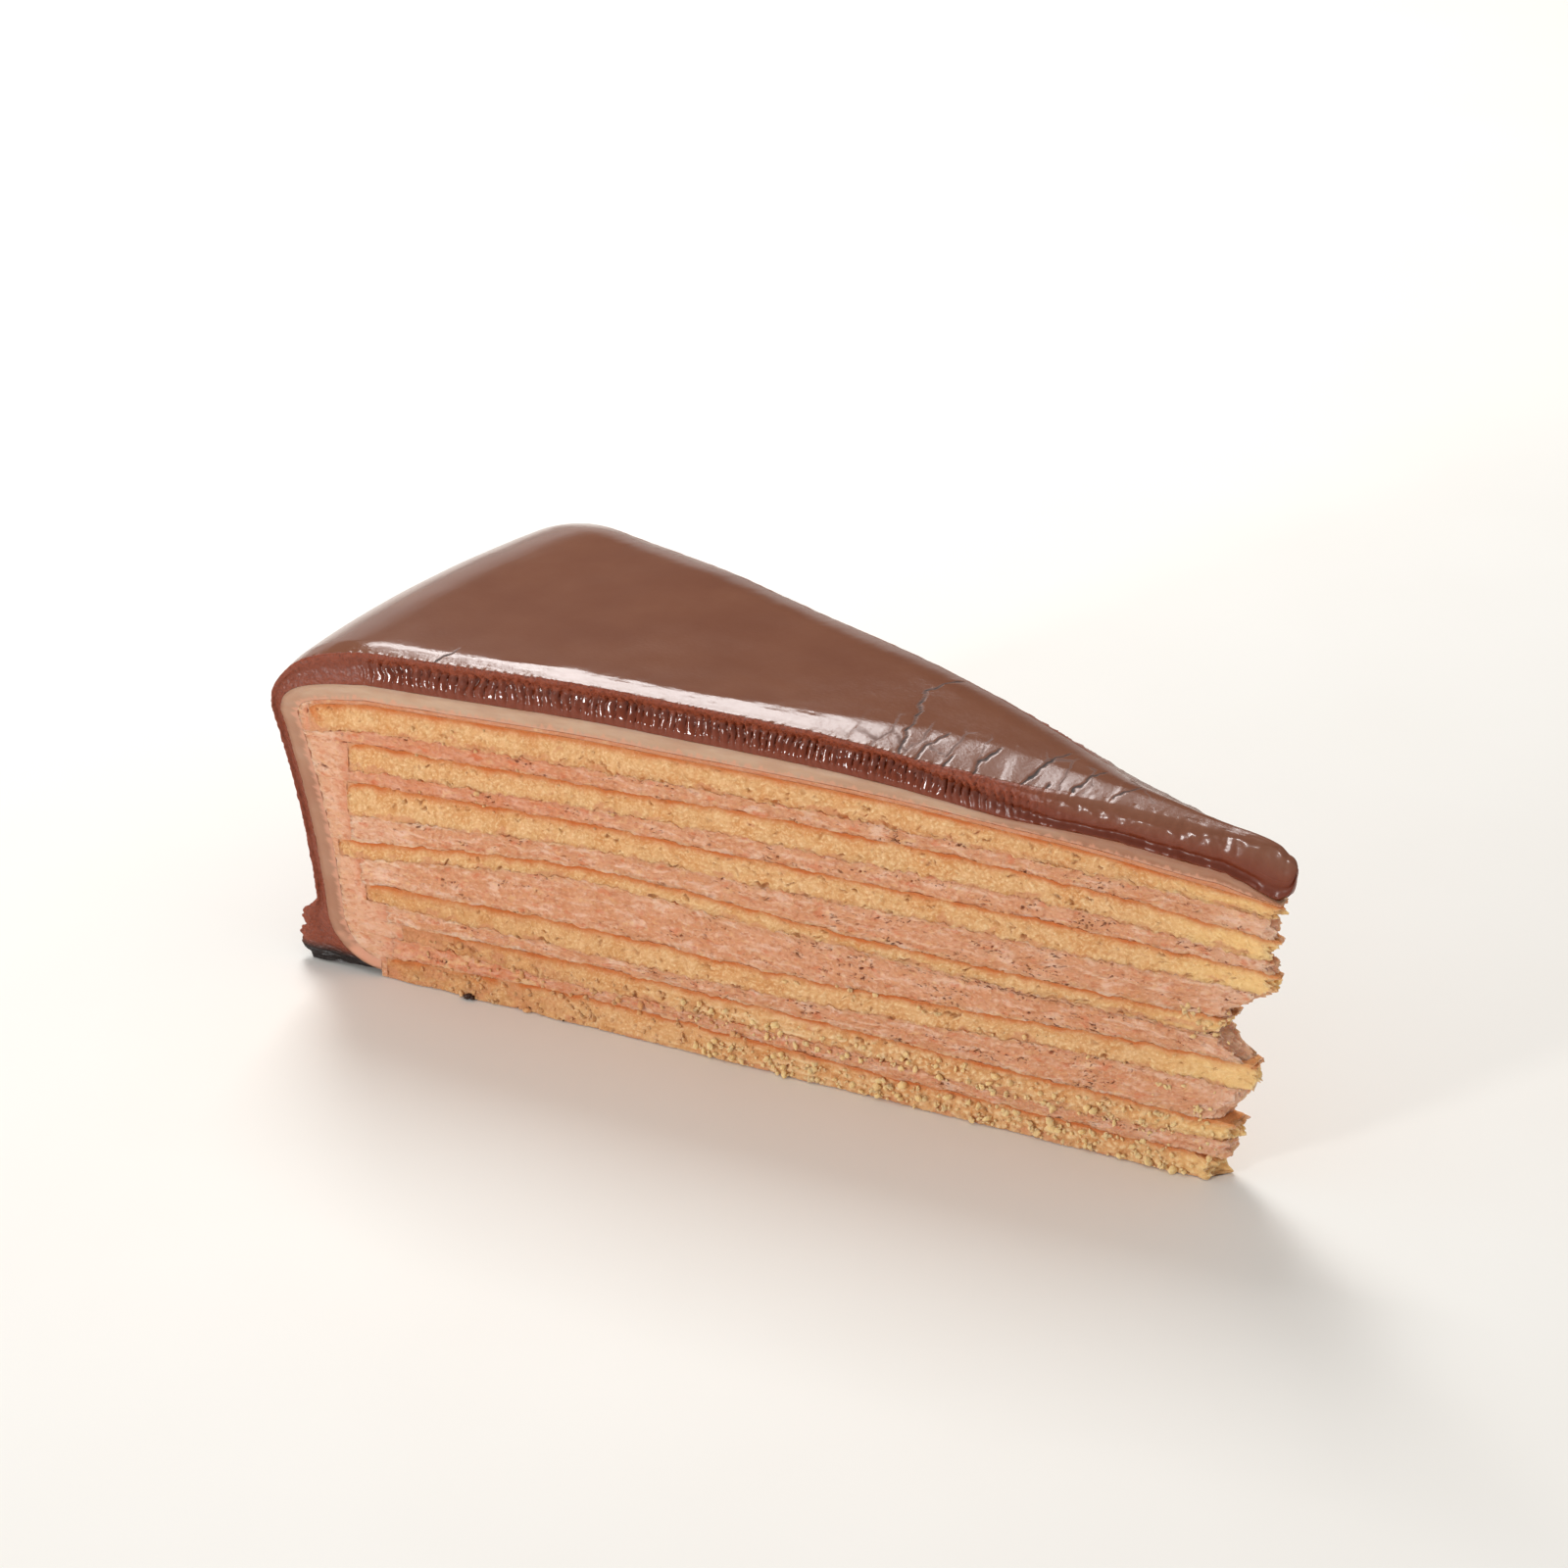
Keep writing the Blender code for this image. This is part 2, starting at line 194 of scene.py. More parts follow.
# The same surface with the small unevenness that shows at a cut
def raggedBoundary(level, r, across):
    if level in (0, len(layers)):
        return boundary(level, r, across)
    row = level * 9.0 + across * 31.0
    ragged = 0.22 * fractal(r / 3.4, row, 5)
    if level % 2:
        ragged = ragged + 0.07 * ripple(r / 0.7, row, 6)
    else:
        ragged = ragged + 0.3 * fractal(r / 1.3, row, 6, 3) - 0.12 * np.abs(ripple(r / 0.45, row, 8))
    return boundary(level, r, across) + ragged


def halfWidthAt(r):
    return np.hypot(r * math.sin(wedge["halfAngle"]), wedge["bluntness"])


def place(r, across, z):
    half = wedge["halfAngle"]
    angle = across * half
    y = halfWidthAt(r) * np.sin(angle) / math.sin(half)
    return np.stack(np.broadcast_arrays(wedge["tipX"] - r * np.cos(angle), y, z), axis=-1)


# Direction that a cut face looks in: side -1 is the near cut, 1 the far one, between them the tip
def outwards(side):
    turn = side * (math.pi / 2 - wedge["halfAngle"])
    return np.stack(np.broadcast_arrays(np.cos(turn), np.sin(turn), 0.0 * turn), axis=-1)


# Colours are given as they look on screen, 0 to 255
def paint(red, green, blue):
    channels = [c / 255 for c in (red, green, blue)]
    return tuple(c / 12.92 if c <= 0.04045 else ((c + 0.055) / 1.055) ** 2.4 for c in channels) + (1.0,)


def addNode(tree, kind, inputs=None, **settings):
    node = tree.nodes.new("ShaderNode" + kind)
    for key, value in settings.items():
        setattr(node, key, value)
    for key, value in (inputs or {}).items():
        if isinstance(value, bpy.types.NodeSocket):
            tree.links.new(value, node.inputs[key])
        else:
            node.inputs[key].default_value = value
    return node


def calculate(tree, operation, a, b):
    return addNode(tree, "Math", {0: a, 1: b}, operation=operation).outputs[0]


def times(tree, a, b):
    return calculate(tree, "MULTIPLY", a, b)


def remap(tree, value, low, high, toLow=0.0, toHigh=1.0):
    sockets = {0: value, 1: low, 2: high, 3: toLow, 4: toHigh}
    return addNode(tree, "MapRange", sockets).outputs[0]


def mixColour(tree, share, a, b):
    return addNode(tree, "Mix", {0: share, 6: a, 7: b}, data_type="RGBA").outputs[2]


def mask(tree, name):
    return addNode(tree, "Attribute", attribute_name=name).outputs["Fac"]


# Lays colours of the look over each other: names of masks, or pairs of a share and a name
def layOver(tree, look, colour, *coats):
    for coat in coats:
        share, name = (mask(tree, coat), coat) if isinstance(coat, str) else coat
        colour = mixColour(tree, share, colour, look[name])
    return colour


# Noise with grains of the given size in mm, longer along the slice by stretch
def grain(tree, size, detail, stretch=1.0):
    where = addNode(tree, "TexCoord").outputs["Object"]
    where = addNode(tree, "Mapping", {"Vector": where, "Scale": (1 / stretch, 1.0, 1.0)}).outputs[0]
    return addNode(tree, "TexNoise", {"Vector": where, "Scale": 1 / (size * mm), "Detail": detail}).outputs[0]


# The same noise, from none at low to strength at high
def patches(tree, size, detail, low, high, strength=1.0, stretch=1.0):
    return remap(tree, grain(tree, size, detail, stretch), low, high, 0.0, strength)


def newFinish(name, look):
    finish = bpy.data.materials.new(name)
    finish.use_nodes = True
    shader = finish.node_tree.nodes["Principled BSDF"]
    shader.inputs["Roughness"].default_value = look["roughness"]
    shader.inputs["IOR"].default_value = look["ior"]
    shader.inputs["Subsurface Weight"].default_value = look["softness"]
    shader.inputs["Subsurface Radius"].default_value = look["spread"]
    shader.inputs["Subsurface Scale"].default_value = look["depth"] * mm
    return finish, finish.node_tree, shader


def complete(finish, colour, height=None, depth=0.0):
    tree = finish.node_tree
    shader = tree.nodes["Principled BSDF"]
    tree.links.new(colour, shader.inputs["Base Color"])
    if height:
        bump = addNode(tree, "Bump", {"Height": height, "Distance": depth * mm, "Strength": 1.0})
        tree.links.new(bump.outputs[0], shader.inputs["Normal"])
    return finish


spongeLook = {
    "crumb": paint(227, 180, 129),
    "crumbDeep": paint(214, 161, 106),
    "toasted": paint(210, 144, 84),
    "valleyShadeAndSpeck": paint(200, 136, 82),
    "grain": paint(244, 212, 166),
    "bright": paint(248, 207, 140),
    "poreShade": paint(160, 96, 48),
    "browned": paint(198, 102, 46),
    "smeared": paint(210, 146, 106),
    "roughness": 0.85,
    "ior": 1.35,
    "softness": 0.4,
    "depth": 1.4,
    "spread": (1.0, 0.85, 0.7),
}


def spongeFinish():
    look = spongeLook
    finish, tree, _ = newFinish("sponge crumb", look)
    relief = mask(tree, "relief")
    colour = mixColour(tree, patches(tree, 1.1, 4.0, 0.35, 0.65), look["crumbDeep"], look["crumb"])
    # Where the lumps of crumb are low, the valley colour is painted shade. Where they are high, the grain
    # colour is painted light. The fine patches in these two colours are pale grains and dark specks.
    colour = layOver(
        tree, look, colour,
        (patches(tree, 3.6, 3.0, 0.46, 0.64, 0.6), "toasted"),
        (remap(tree, relief, 0.5, 0.0, 0.0, 0.6), "valleyShadeAndSpeck"),
        (remap(tree, relief, 0.55, 1.0, 0.0, 0.8), "grain"),
        (patches(tree, 0.3, 2.0, 0.55, 0.72, 0.6), "grain"),
        (patches(tree, 0.42, 3.0, 0.42, 0.3, 0.3), "valleyShadeAndSpeck"),
        "bright", "smeared", "browned", "poreShade")
    return complete(finish, colour, grain(tree, 0.25, 3.0), 0.14)


creamLook = {
    "cream": paint(216, 157, 120),
    "creamDark": paint(208, 144, 101),
    "deep": paint(196, 125, 84),
    "pale": paint(233, 193, 167),
    "blotch": paint(208, 118, 76),
    "tear": paint(122, 56, 34),
    "crumbly": paint(236, 192, 142),
    "roughness": 0.62,
    "ior": 1.4,
    "softness": 0.4,
    "depth": 1.5,
    "spread": (1.0, 0.6, 0.35),
}


def creamFinish():
    look = creamLook
    finish, tree, _ = newFinish("buttercream", look)
    where = addNode(tree, "TexCoord").outputs["Object"]
    specks = addNode(tree, "TexVoronoi", {"Vector": where, "Scale": 1 / (1.7 * mm)}).outputs
    luck = addNode(tree, "SeparateColor", {0: specks["Color"]}).outputs[0]
    crumbs = times(tree, remap(tree, specks["Distance"], 0.2, 0.1), calculate(tree, "LESS_THAN", luck, 0.08))
    tears = times(tree, patches(tree, 0.22, 2.0, 0.625, 0.68, stretch=3.6), mask(tree, "torn"))
    tears = calculate(tree, "MAXIMUM", tears, mask(tree, "tear"))
    colour = patches(tree, 1.6, 4.0, 0.35, 0.65, stretch=2.5)
    colour = mixColour(tree, colour, look["creamDark"], look["cream"])
    colour = layOver(
        tree, look, colour,
        (times(tree, mask(tree, "pale"), 0.8), "pale"),
        (patches(tree, 0.5, 3.0, 0.48, 0.32, 0.75, 1.8), "deep"),
        (patches(tree, 0.35, 3.0, 0.54, 0.7, 0.5, 1.6), "pale"),
        "blotch", (times(tree, crumbs, 0.5), "crumbly"), "crumbly", (tears, "tear"))
    rough = calculate(tree, "SUBTRACT", grain(tree, 0.35, 3.0, 1.6), tears)
    return complete(finish, colour, rough, 0.2)


marzipanLook = {
    "paste": paint(194, 160, 133),
    "warm": paint(185, 145, 117),
    "edge": paint(160, 108, 80),
    "creamy": paint(214, 153, 124),
    "roughness": 0.5,
    "ior": 1.45,
    "softness": 0.35,
    "depth": 2.0,
    "spread": (1.0, 0.6, 0.35),
}


def marzipanFinish():
    look = marzipanLook
    finish, tree, _ = newFinish("marzipan", look)
    colour = mixColour(tree, patches(tree, 2.4, 3.0, 0.35, 0.65, stretch=3.0), look["warm"], look["paste"])
    colour = layOver(tree, look, colour, "edge", "creamy")
    return complete(finish, colour, grain(tree, 0.5, 3.0, 3.0), 0.05)


glazeLook = {
    "top": paint(119, 72, 51),
    "topWarm": paint(127, 80, 58),
    "cut": paint(119, 50, 25),
    "deep": paint(80, 30, 16),
    "lip": paint(140, 64, 36),
    "darkBase": paint(26, 14, 11),
    "crack": paint(34, 14, 9),
    "roughness": 0.17,
    # Roughness where each mask reaches the first number
    "roughAt": {"cut": (1.0, 0.09), "satin": (1.0, 0.3), "lip": (1.0, 0.5), "crack": (0.4, 0.6)},
    "ior": 1.42,
    "softness": 0.1,
    "depth": 0.9,
    "spread": (1.0, 0.6, 0.35),
}


def glazeFinish():
    look = glazeLook
    finish, tree, shader = newFinish("chocolate glaze", look)
    lip = mask(tree, "lip")
    lipGrain = times(tree, patches(tree, 0.3, 3.0, 0.5, 0.36, 0.6), lip)
    colour = mixColour(tree, patches(tree, 9.0, 4.0, 0.3, 0.7), look["top"], look["topWarm"])
    colour = layOver(tree, look, colour, "cut", "deep", "lip", (lipGrain, "deep"), "crack", "darkBase")
    rough = look["roughness"]
    for name, (full, value) in look["roughAt"].items():
        rough = remap(tree, mask(tree, name), 0.0, full, rough, value)
    tree.links.new(rough, shader.inputs["Roughness"])
    ripples = times(tree, grain(tree, 0.4, 4.0, 1.4), remap(tree, lip, 0.0, 1.0, 0.015, 0.2))
    return complete(finish, colour, ripples, 1.0)


finishes = {
    "sponge": spongeFinish(),
    "cream": creamFinish(),
    "marzipan": marzipanFinish(),
    "glaze": glazeFinish(),
}
print("finishes ready")


# A closed mesh from points in mm and faces grouped by their number of corners
def makePiece(name, kind, nodes, points, faces, masks, sharpAngle=62.0):
    low, high = (np.array(corner) / mm for corner in cadBox)
    margin = 0.005
    points = np.clip(points, low + margin, high - margin)
    mesh = bpy.data.meshes.new(name)
    corners = np.concatenate([np.ravel(group) for group in faces]).astype(np.int32)
    sizes = np.concatenate([np.full(len(group), np.shape(group)[1]) for group in faces])
    mesh.vertices.add(len(points))
    mesh.vertices.foreach_set("co", np.ravel(points * mm))
    mesh.loops.add(len(corners))
    mesh.loops.foreach_set("vertex_index", corners)
    mesh.polygons.add(len(sizes))
    mesh.polygons.foreach_set("loop_start", (np.cumsum(sizes) - sizes).astype(np.int32))
    mesh.update(calc_edges=True)
    mesh.validate()
    for key, values in masks.items():
        layer = mesh.attributes.new(key, "FLOAT", "POINT")
        layer.data.foreach_set("value", np.ravel(values).astype(np.float32))
    mesh.shade_smooth()
    mesh.set_sharp_from_angle(angle=math.radians(sharpAngle))
    mesh.materials.append(finishes[kind])
    piece = bpy.data.objects.new(name, mesh)
    bpy.context.scene.collection.objects.link(piece)
    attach(piece, "root")
    if nodes:
        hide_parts(*nodes)
    print(f"{name}: {int(np.sum(sizes - 2))} triangles")


# Quads between neighbouring columns and rows of a grid of point numbers
def gridQuads(grid):
    quads = (grid[:-1, :-1], grid[1:, :-1], grid[1:, 1:], grid[:-1, 1:])
    return np.stack(quads, axis=-1).reshape(-1, 4)


layerMesh = {
    "nearStep": 0.15,
    "farStep": 0.4,
    "rowStep": 0.165,
    "arcSquash": 0.6,  # depth of the rounded tip as a share of its half width
    "ledgeReach": 17.0,  # this near the tip, the upper and lower sides show
    "ledgePoints": 7,
    "tipRaggedness": {"sponge": 1.1, "cream": 0.77},
    "rimReach": {"sponge": 0.49, "cream": 0.62},  # closes the CAD's gap to the coat
}

spongeRelief = {
    "grainSize": (0.62, 0.52),
    "grainHeight": 0.19,
    "fineSize": 0.36,
    "fineHeight": 0.09,
    "poreFrom": 0.72,  # lower means more pores
    "poreDepth": 0.3,
    "pinholeSize": 1.1,
    "pinholeDepth": 0.12,
    "broad": 0.2,
    "brownedWidth": 1.25,
    "endRound": (1.9, 1.3),  # length and height of the rounded corners at the rim
    "topEndRound": (5.0, 3.4),  # the same at the foot of the top sponge's end
}

creamRelief = {
    "smear": 0.22,
    "rough": 0.13,
    "tearDepth": 0.3,
}


# Depth of the crumb at path length s and height z of a sponge, with its masks
def crumbRelief(s, z, height, seed, crumbly, fromRim, lowerRound, pocketed):
    look = spongeRelief

    def noiseAt(wide, tall, number, octaves=3):
        return fractal(s / wide, z / tall, seed + number, octaves)

    def grainsAt(warp, across, along, number):
        near, _, luck, _ = cells((s + warpS * warp) / across, (z + warpZ * warp) / along, seed + number)
        return near, luck

    warpS, warpZ = 0.55 * noiseAt(1.4, 1.2, 1, 2), 0.4 * noiseAt(1.4, 1.2, 2, 2)
    across, along = look["grainSize"]
    bigger = 1 + 0.6 * crumbly
    near, luck = grainsAt(0.5, across * bigger, along * bigger, 3)
    lumps = look["grainHeight"] * (1 + 0.8 * crumbly) * (0.42 - near) * (0.5 + luck)
    near, luck = grainsAt(0.3, look["fineSize"], look["fineSize"], 5)
    lumps = lumps + look["fineHeight"] * (0.42 - near) * (0.4 + luck)
    holes = fractal((s + warpS) / 1.5, (z + warpZ) / 0.8, seed + 7, 3)
    holes = holes + 0.4 * noiseAt(9.0, 4.0, 9, 2) + 0.3 * pocketed
    holes = holes + 0.22 * ease(0.9, 0.2, z) * ease(12, 22, s)
    pores = ease(look["poreFrom"], look["poreFrom"] + 0.4, holes)
    near, luck = grainsAt(1.0, look["pinholeSize"], look["pinholeSize"], 11)
    pinholes = np.where(luck < 0.08, ease(0.3, 0.1, near), 0.0)
    out = look["broad"] * noiseAt(5.5, 3.0, 13, 2) + lumps
    out = out - look["poreDepth"] * pores - look["pinholeDepth"] * pinholes
    # The browned skin above, and traces of it below
    under = height - z
    edge = look["brownedWidth"] * (1 + 0.45 * fractal(s / 2.6, 0.0, seed + 19, 3) + 0.3 * ease(70, 30, s))
    strength = np.clip(0.95 + 0.5 * fractal(s / 6.0, 3.0, seed + 20, 2), 0.5, 1.1)
    browned = (0.45 * ease(edge, 0.15, under) + 0.55 * ease(0.5 * edge, 0.0, under)) * strength
    lower = 0.3 * ease(0.3, 0.0, z + 0.35 * fractal(s / 0.9, 5.0, seed + 21, 2))
    lower = lower * ease(0.3, 0.8, fractal(s / 3.0, 8.0, seed + 24, 2))
    browned = np.maximum(browned, np.maximum(lower, 0.8 * pocketed * pores))
    out = blend(out, 0.5 * out, np.clip(browned, 0, 1))
    # Cream dragged over the crumb by the knife, and the rounded end at the rim
    dragged = noiseAt(3.4, 1.5, 23) + 0.5 * ease(0.9, 0.0, z) - 0.3 * ease(0.6, 1.6, z)
    smeared = 0.7 * ease(0.4, 0.8, dragged)
    ragged = (0.7 if lowerRound[0] > 3 else 0.35) * fractal(z / 0.8, s / 1.6, seed + 22, 3)
    corner = 0.0
    for (wide, tall), fromEdge in ((look["endRound"], under), (lowerRound, z)):
        inwards = np.clip(1 - (fromRim + ragged) / wide, 0, None)
        corner = np.maximum(corner, np.hypot(inwards, np.clip(1 - fromEdge / tall, 0, 1)))
    patchy = np.clip(0.7 + 0.8 * noiseAt(1.5, 1.1, 25), 0.3, 1.0)
    atEnd = ease(0.6, 0.95, corner) * patchy * (0.3 + 0.7 * ease(0.25, 0.7, z / height))
    outside = ease(0.96, 1.08, corner)
    browned = np.maximum(browned, 0.95 * atEnd) * (1 - outside)
    return out, {
        # The pore colour is painted shade in the pores and pinholes
        "poreShade": np.clip(0.75 * pores + 0.4 * pinholes, 0, 1) * (1 - 0.5 * browned) * (1 - outside),
        "browned": np.clip(browned, 0, 1),
        "smeared": np.maximum(smeared, outside),
        # Height of the lumps, which paints shade in the hollows and light on the tops
        "relief": np.clip(0.55 + lumps / 0.3, 0, 1),
    }


def smearRelief(s, z, seed, torn):
    look = creamRelief
    slant = z + 0.5 * fractal(s / 5.0, z / 3.0, seed + 1, 2)
    smear = fractal(s / 4.5, slant / 0.9, seed + 3, 3)
    rough = fractal(s / 0.6, z / 0.4, seed + 5, 2)
    tornPatches = ease(0.0, 0.5, fractal(s / 6.0, slant / 1.3, seed + 7, 3) + torn)
    tears = ease(0.6, 0.78, fractal(s / 1.0, slant / 0.3, seed + 11, 3)) * tornPatches
    return look["smear"] * smear + look["rough"] * rough - look["tearDepth"] * tears, {
        "tear": 0.8 * tears,
        "torn": tornPatches,
        "pale": 0.85 * ease(0.0, 0.7, fractal(s / 3.2, slant / 0.8, seed + 15, 3)),
        "blotch": 0.6 * ease(0.45, 0.8, fractal(s / 2.4, slant / 0.9, seed + 17, 3)),
        "crumbly": 0.35 * ease(0.5, 0.85, fractal(s / 2.0, z / 1.0, seed + 13, 3)),
    }


# How much painted shade darkens the lower sponges towards the rim, through a lower relief value and more of
# the dark pore colour, and how far cream is mixed in
spongeShades = {
    "darker": {0: 0.36, 2: 0.36, 4: 0.22},
    "shadedPores": {0: 0.28, 2: 0.28, 4: 0.14},
    "mixed": {0: 0.6, 2: 0.85},
}


def spongeCut(level, s, z, local, height, r, rim):
    seed = 1000 * (level + 1)
    topmost = level == len(layers) - 1
    crumbly = ease(45, 75, s) * (1.0 if level in (0, 2) else 0.2)
    lowerRound = spongeRelief["topEndRound" if topmost else "endRound"]
    pocketed = ease(1.6, 0.4, local) * ease(24, 34, s) * ease(92, 76, s) * topmost
    out, masks = crumbRelief(s, local, height, seed, crumbly, rim - r, lowerRound, pocketed)
    # Painted shade on the lower sponges towards the rim
    if level in spongeShades["darker"]:
        masks["relief"] = masks["relief"] - spongeShades["darker"][level] * ease(48, 14, s)
        shade = np.clip(0.6 + 1.1 * fractal(s / 1.5, z / 1.0, seed + 26, 4), 0.0, 1.6)
        masks["poreShade"] = np.maximum(masks["poreShade"], spongeShades["shadedPores"][level] * ease(48, 18, s) * shade)
    if level in spongeShades["mixed"]:
        mixed = ease(-0.15, 0.4, fractal(s / 4.0, z / 2.2, 97, 3)) * ease(9, 14, s) * ease(42, 26, s)
        if level == 2:
            mixed = np.maximum(mixed, ease(24, 15, s + 3.0 * fractal(s / 2.0, z / 1.0, 98, 3)))
        masks["smeared"] = np.maximum(masks["smeared"], spongeShades["mixed"][level] * mixed)
        masks["browned"] = masks["browned"] * (1 - 0.8 * mixed)
    if level == 0:
        curl = ease(14.5, 12.5, s + 0.8 * fractal(z / 0.9, s / 2.0, 93, 2)) * ease(2.4, 1.2, z)
        masks["smeared"] = np.maximum(masks["smeared"], curl)
    nearTip = ease(108, 124, wedge["cutLength"] - r)
    masks["bright"] = 0.6 * nearTip * (1 - masks["browned"])
    masks["browned"] = masks["browned"] * (1 - 0.2 * nearTip)
    return out, masks


def creamCut(level, s, z, fromEdge, r):
    torn = 0.35 * ease(50, 80, s) - 0.25 - 0.4 * ease(18, 12, s) - 0.3 * ease(102, 116, s)
    out, masks = smearRelief(s, z, 901, torn)
    # Paler near the rim. Near the tip the paler colour is painted light on the shaded broken ends.
    paler = 0.4 * ease(17, 11, s) + 0.5 * ease(116, 123, wedge["cutLength"] - r)
    masks["pale"] = np.clip(masks["pale"] + paler, 0, 1)
    fringe = 0.5 * ease(0.35, 0.0, fromEdge) * ease(0, 0.5, fractal(s / 1.8, z, 95, 2))
    if level == 1:
        crumbs = ease(0.1, 0.5, fractal(s / 2.6, z / 1.2, 99, 3))
        fringe = fringe + 0.6 * crumbs * ease(9, 14, s) * ease(44, 30, s)
    masks["crumbly"] = np.clip(np.maximum(masks["crumbly"], fringe), 0, 1)
    if level in (1, 9, 11):
        blotch = masks["blotch"] + 0.4 * ease(50, 30, s) + 0.25 * ease(0.5, 0.0, fromEdge)
        masks["blotch"] = np.clip(blotch, 0, 1)
    return out, masks


# One layer: a wall of columns along the near cut, round the broken tip and back along the far cut
def makeLayer(level, number):
    kind, thickness, tip, rim = layers[level]
    look = layerMesh
    rim += look["rimReach"][kind]
    middleTip = sum(tip) / 2
    tipWidth = halfWidthAt(middleTip)
    nearCount, farCount = (int((rim - middleTip) / look[key]) for key in ("nearStep", "farStep"))
    arcCount = 2 * int(tipWidth * 1.4 / look["nearStep"])
    height = np.mean(thickness)
    rows = int(height / look["rowStep"]) + 1
    turn = np.linspace(-1, 1, arcCount + 1)[1:-1]
    side = np.concatenate((-np.ones(nearCount + 1), turn, np.ones(farCount + 1)))[:, None]
    shares = (np.linspace(0, 1, nearCount + 1), np.ones(len(turn)), np.linspace(1, 0, farCount + 1))
    shares = np.concatenate(shares)[:, None]
    up = np.linspace(0, 1, rows + 1)[None, :]
    ragged = fractal(up * height / 1.5 + level * 17.0, side * 1.4, 71, 3)
    tipRadius = blend(*tip, up) + look["tipRaggedness"][kind] * ragged
    tipRadius = tipRadius + 0.35 * fractal(up * height / 0.5, side * 4.0 + level, 73, 2)
    tipRadius = np.maximum(tipRadius, 2.2)
    bulge = look["arcSquash"] * halfWidthAt(tipRadius)
    r = blend(rim, tipRadius + bulge * (1 - np.cos(side * math.pi / 2)), shares)
    across = np.broadcast_to(np.sin(side * math.pi / 2), r.shape)
    bottom, top = (raggedBoundary(k, r, across) for k in (level, level + 1))
    z = blend(bottom, top, up)
    # Length along the whole wall, as on the near cut, round the tip and beyond it
    tipS = wedge["cutLength"] - middleTip
    arcDepth = look["arcSquash"] * tipWidth
    s = np.where(side < 0, wedge["cutLength"] - r, tipS + arcDepth * 3 + (r - middleTip))
    s = np.where(np.abs(side) < 1, tipS + arcDepth * 1.5 * (side + 1), s)
    if kind == "sponge":
        out, masks = spongeCut(level, s, z, (top - bottom) * up, top - bottom, r, rim)
    else:
        out, masks = creamCut(level, s, z, np.minimum(up, 1 - up) * (top - bottom), r)
    out = np.clip(out, -0.45 * halfWidthAt(r), 0.35)
    points = place(r, across, z) + outwards(side) * out[..., None]
    grid = np.arange(r.size).reshape(r.shape)
    pointList = [points.reshape(-1, 3)]
    maskLists = {key: [np.ravel(values)] for key, values in masks.items()}
    total = grid.size
    grouped = {}

    def addFace(ring, flip=False):
        ring = list(dict.fromkeys(ring))
        grouped.setdefault(len(ring), []).append(ring[::-1] if flip else ring)

    # The upper and lower sides: rungs from each near column to its partner on the far cut
    halfway = nearCount + 1 + (len(turn) - 1) // 2
    inner = look["ledgePoints"]
    w = np.arange(1, inner + 1) / (inner + 1)
    for row, flip in ((rows, False), (0, True)):
        rungs = []
        for i in range(halfway + 1):
            back = round(i * farCount / nearCount) if i <= nearCount else farCount + i - nearCount
            partner = len(side) - 1 - back
            a, b = grid[i, row], grid[partner, row]
            if a == b or r[i, 0] >= look["ledgeReach"]:
                rungs.append([a] if a == b else [a, b])
                continue
            made = blend(points[i, row], points[partner, row], w[:, None])
            if level > 0 or not flip:
                seed = 1000 * (level + 1) + 31 + row
                bumps = 0.2 * fractal(made[:, 0] / 0.9, made[:, 1] / 0.9, seed, 2)
                made[:, 2] += bumps * np.sin(w * math.pi)
            pointList.append(made)
            for key in masks:
                fill = 0.6 if key == "browned" and not flip else 0.5 * (key in ("relief", "bright"))
                maskLists[key].append(np.full(inner, fill))
            rungs.append([a, *range(total, total + inner), b])
            total += inner
        for first, following in zip(rungs, rungs[1:]):
            if len(first) == len(following) > 2:
                for k in range(inner + 1):
                    addFace((first[k], following[k], following[k + 1], first[k + 1]), flip)
            else:
                addFace((first[0], *following, *first[:0:-1]), flip)
    for row in range(rows):
        addFace((grid[0, row], grid[0, row + 1], grid[-1, row + 1], grid[-1, row]))
    faces = [gridQuads(grid), *(np.array(group) for group in grouped.values())]
    allMasks = {key: np.concatenate(values) for key, values in maskLists.items()}
    name = f"{kind}_{number}"
    makePiece(f"fine_{name}", kind, [name], np.concatenate(pointList), faces, allMasks)


for level, layer in enumerate(layers):
    makeLayer(level, level // 2 + 1)
print("layers ready")

# The three sheets over the top and down the rim, as in the part
sheets = {
    "skin": 0.55,
    "marzipan": (0.7, 0.9, 1.9, 2.1, 2.1),
    "glaze": (5.3, 4.5, 4.2, 4.2, 4.0),
    "shoulderStart": 122.0,
    "shoulderSlope": 0.15,
    "shoulderHeight": 34.5,
    "shoulderReach": 0.78,
    "shoulderRise": 0.5,
    "footRadius": 128.6,
    "lean": 5.3,
    "widestHeight": 35.0,
    "walls": (2.4, 1.6),  # marzipan and glaze down the rim
    "heelHeight": 8.5,
    "heelRadius": 119.8,
    "glazeHeel": 0.9,
    "marzipanHeel": 2.4,
    "topStep": 0.165,
    "step": 0.26,
}

sheetTips = {
    "tipStart": 2.6,
    "marzipanUpper": ((2.6, 38.15), (6.0, 38.75), (9.5, 39.55)),
    "marzipanLower": ((2.6, 37.95), (6.0, 38.15), (9.5, 38.8)),
    "rise": ((0.0, 0.0), (3.4, 0.0), (7.0, 0.7), (10.0, 0.95), (22.0, 0.95), (36.0, 0.0)),
}


def curve(points, x):
    return curveThrough(*np.array(points).T, x)


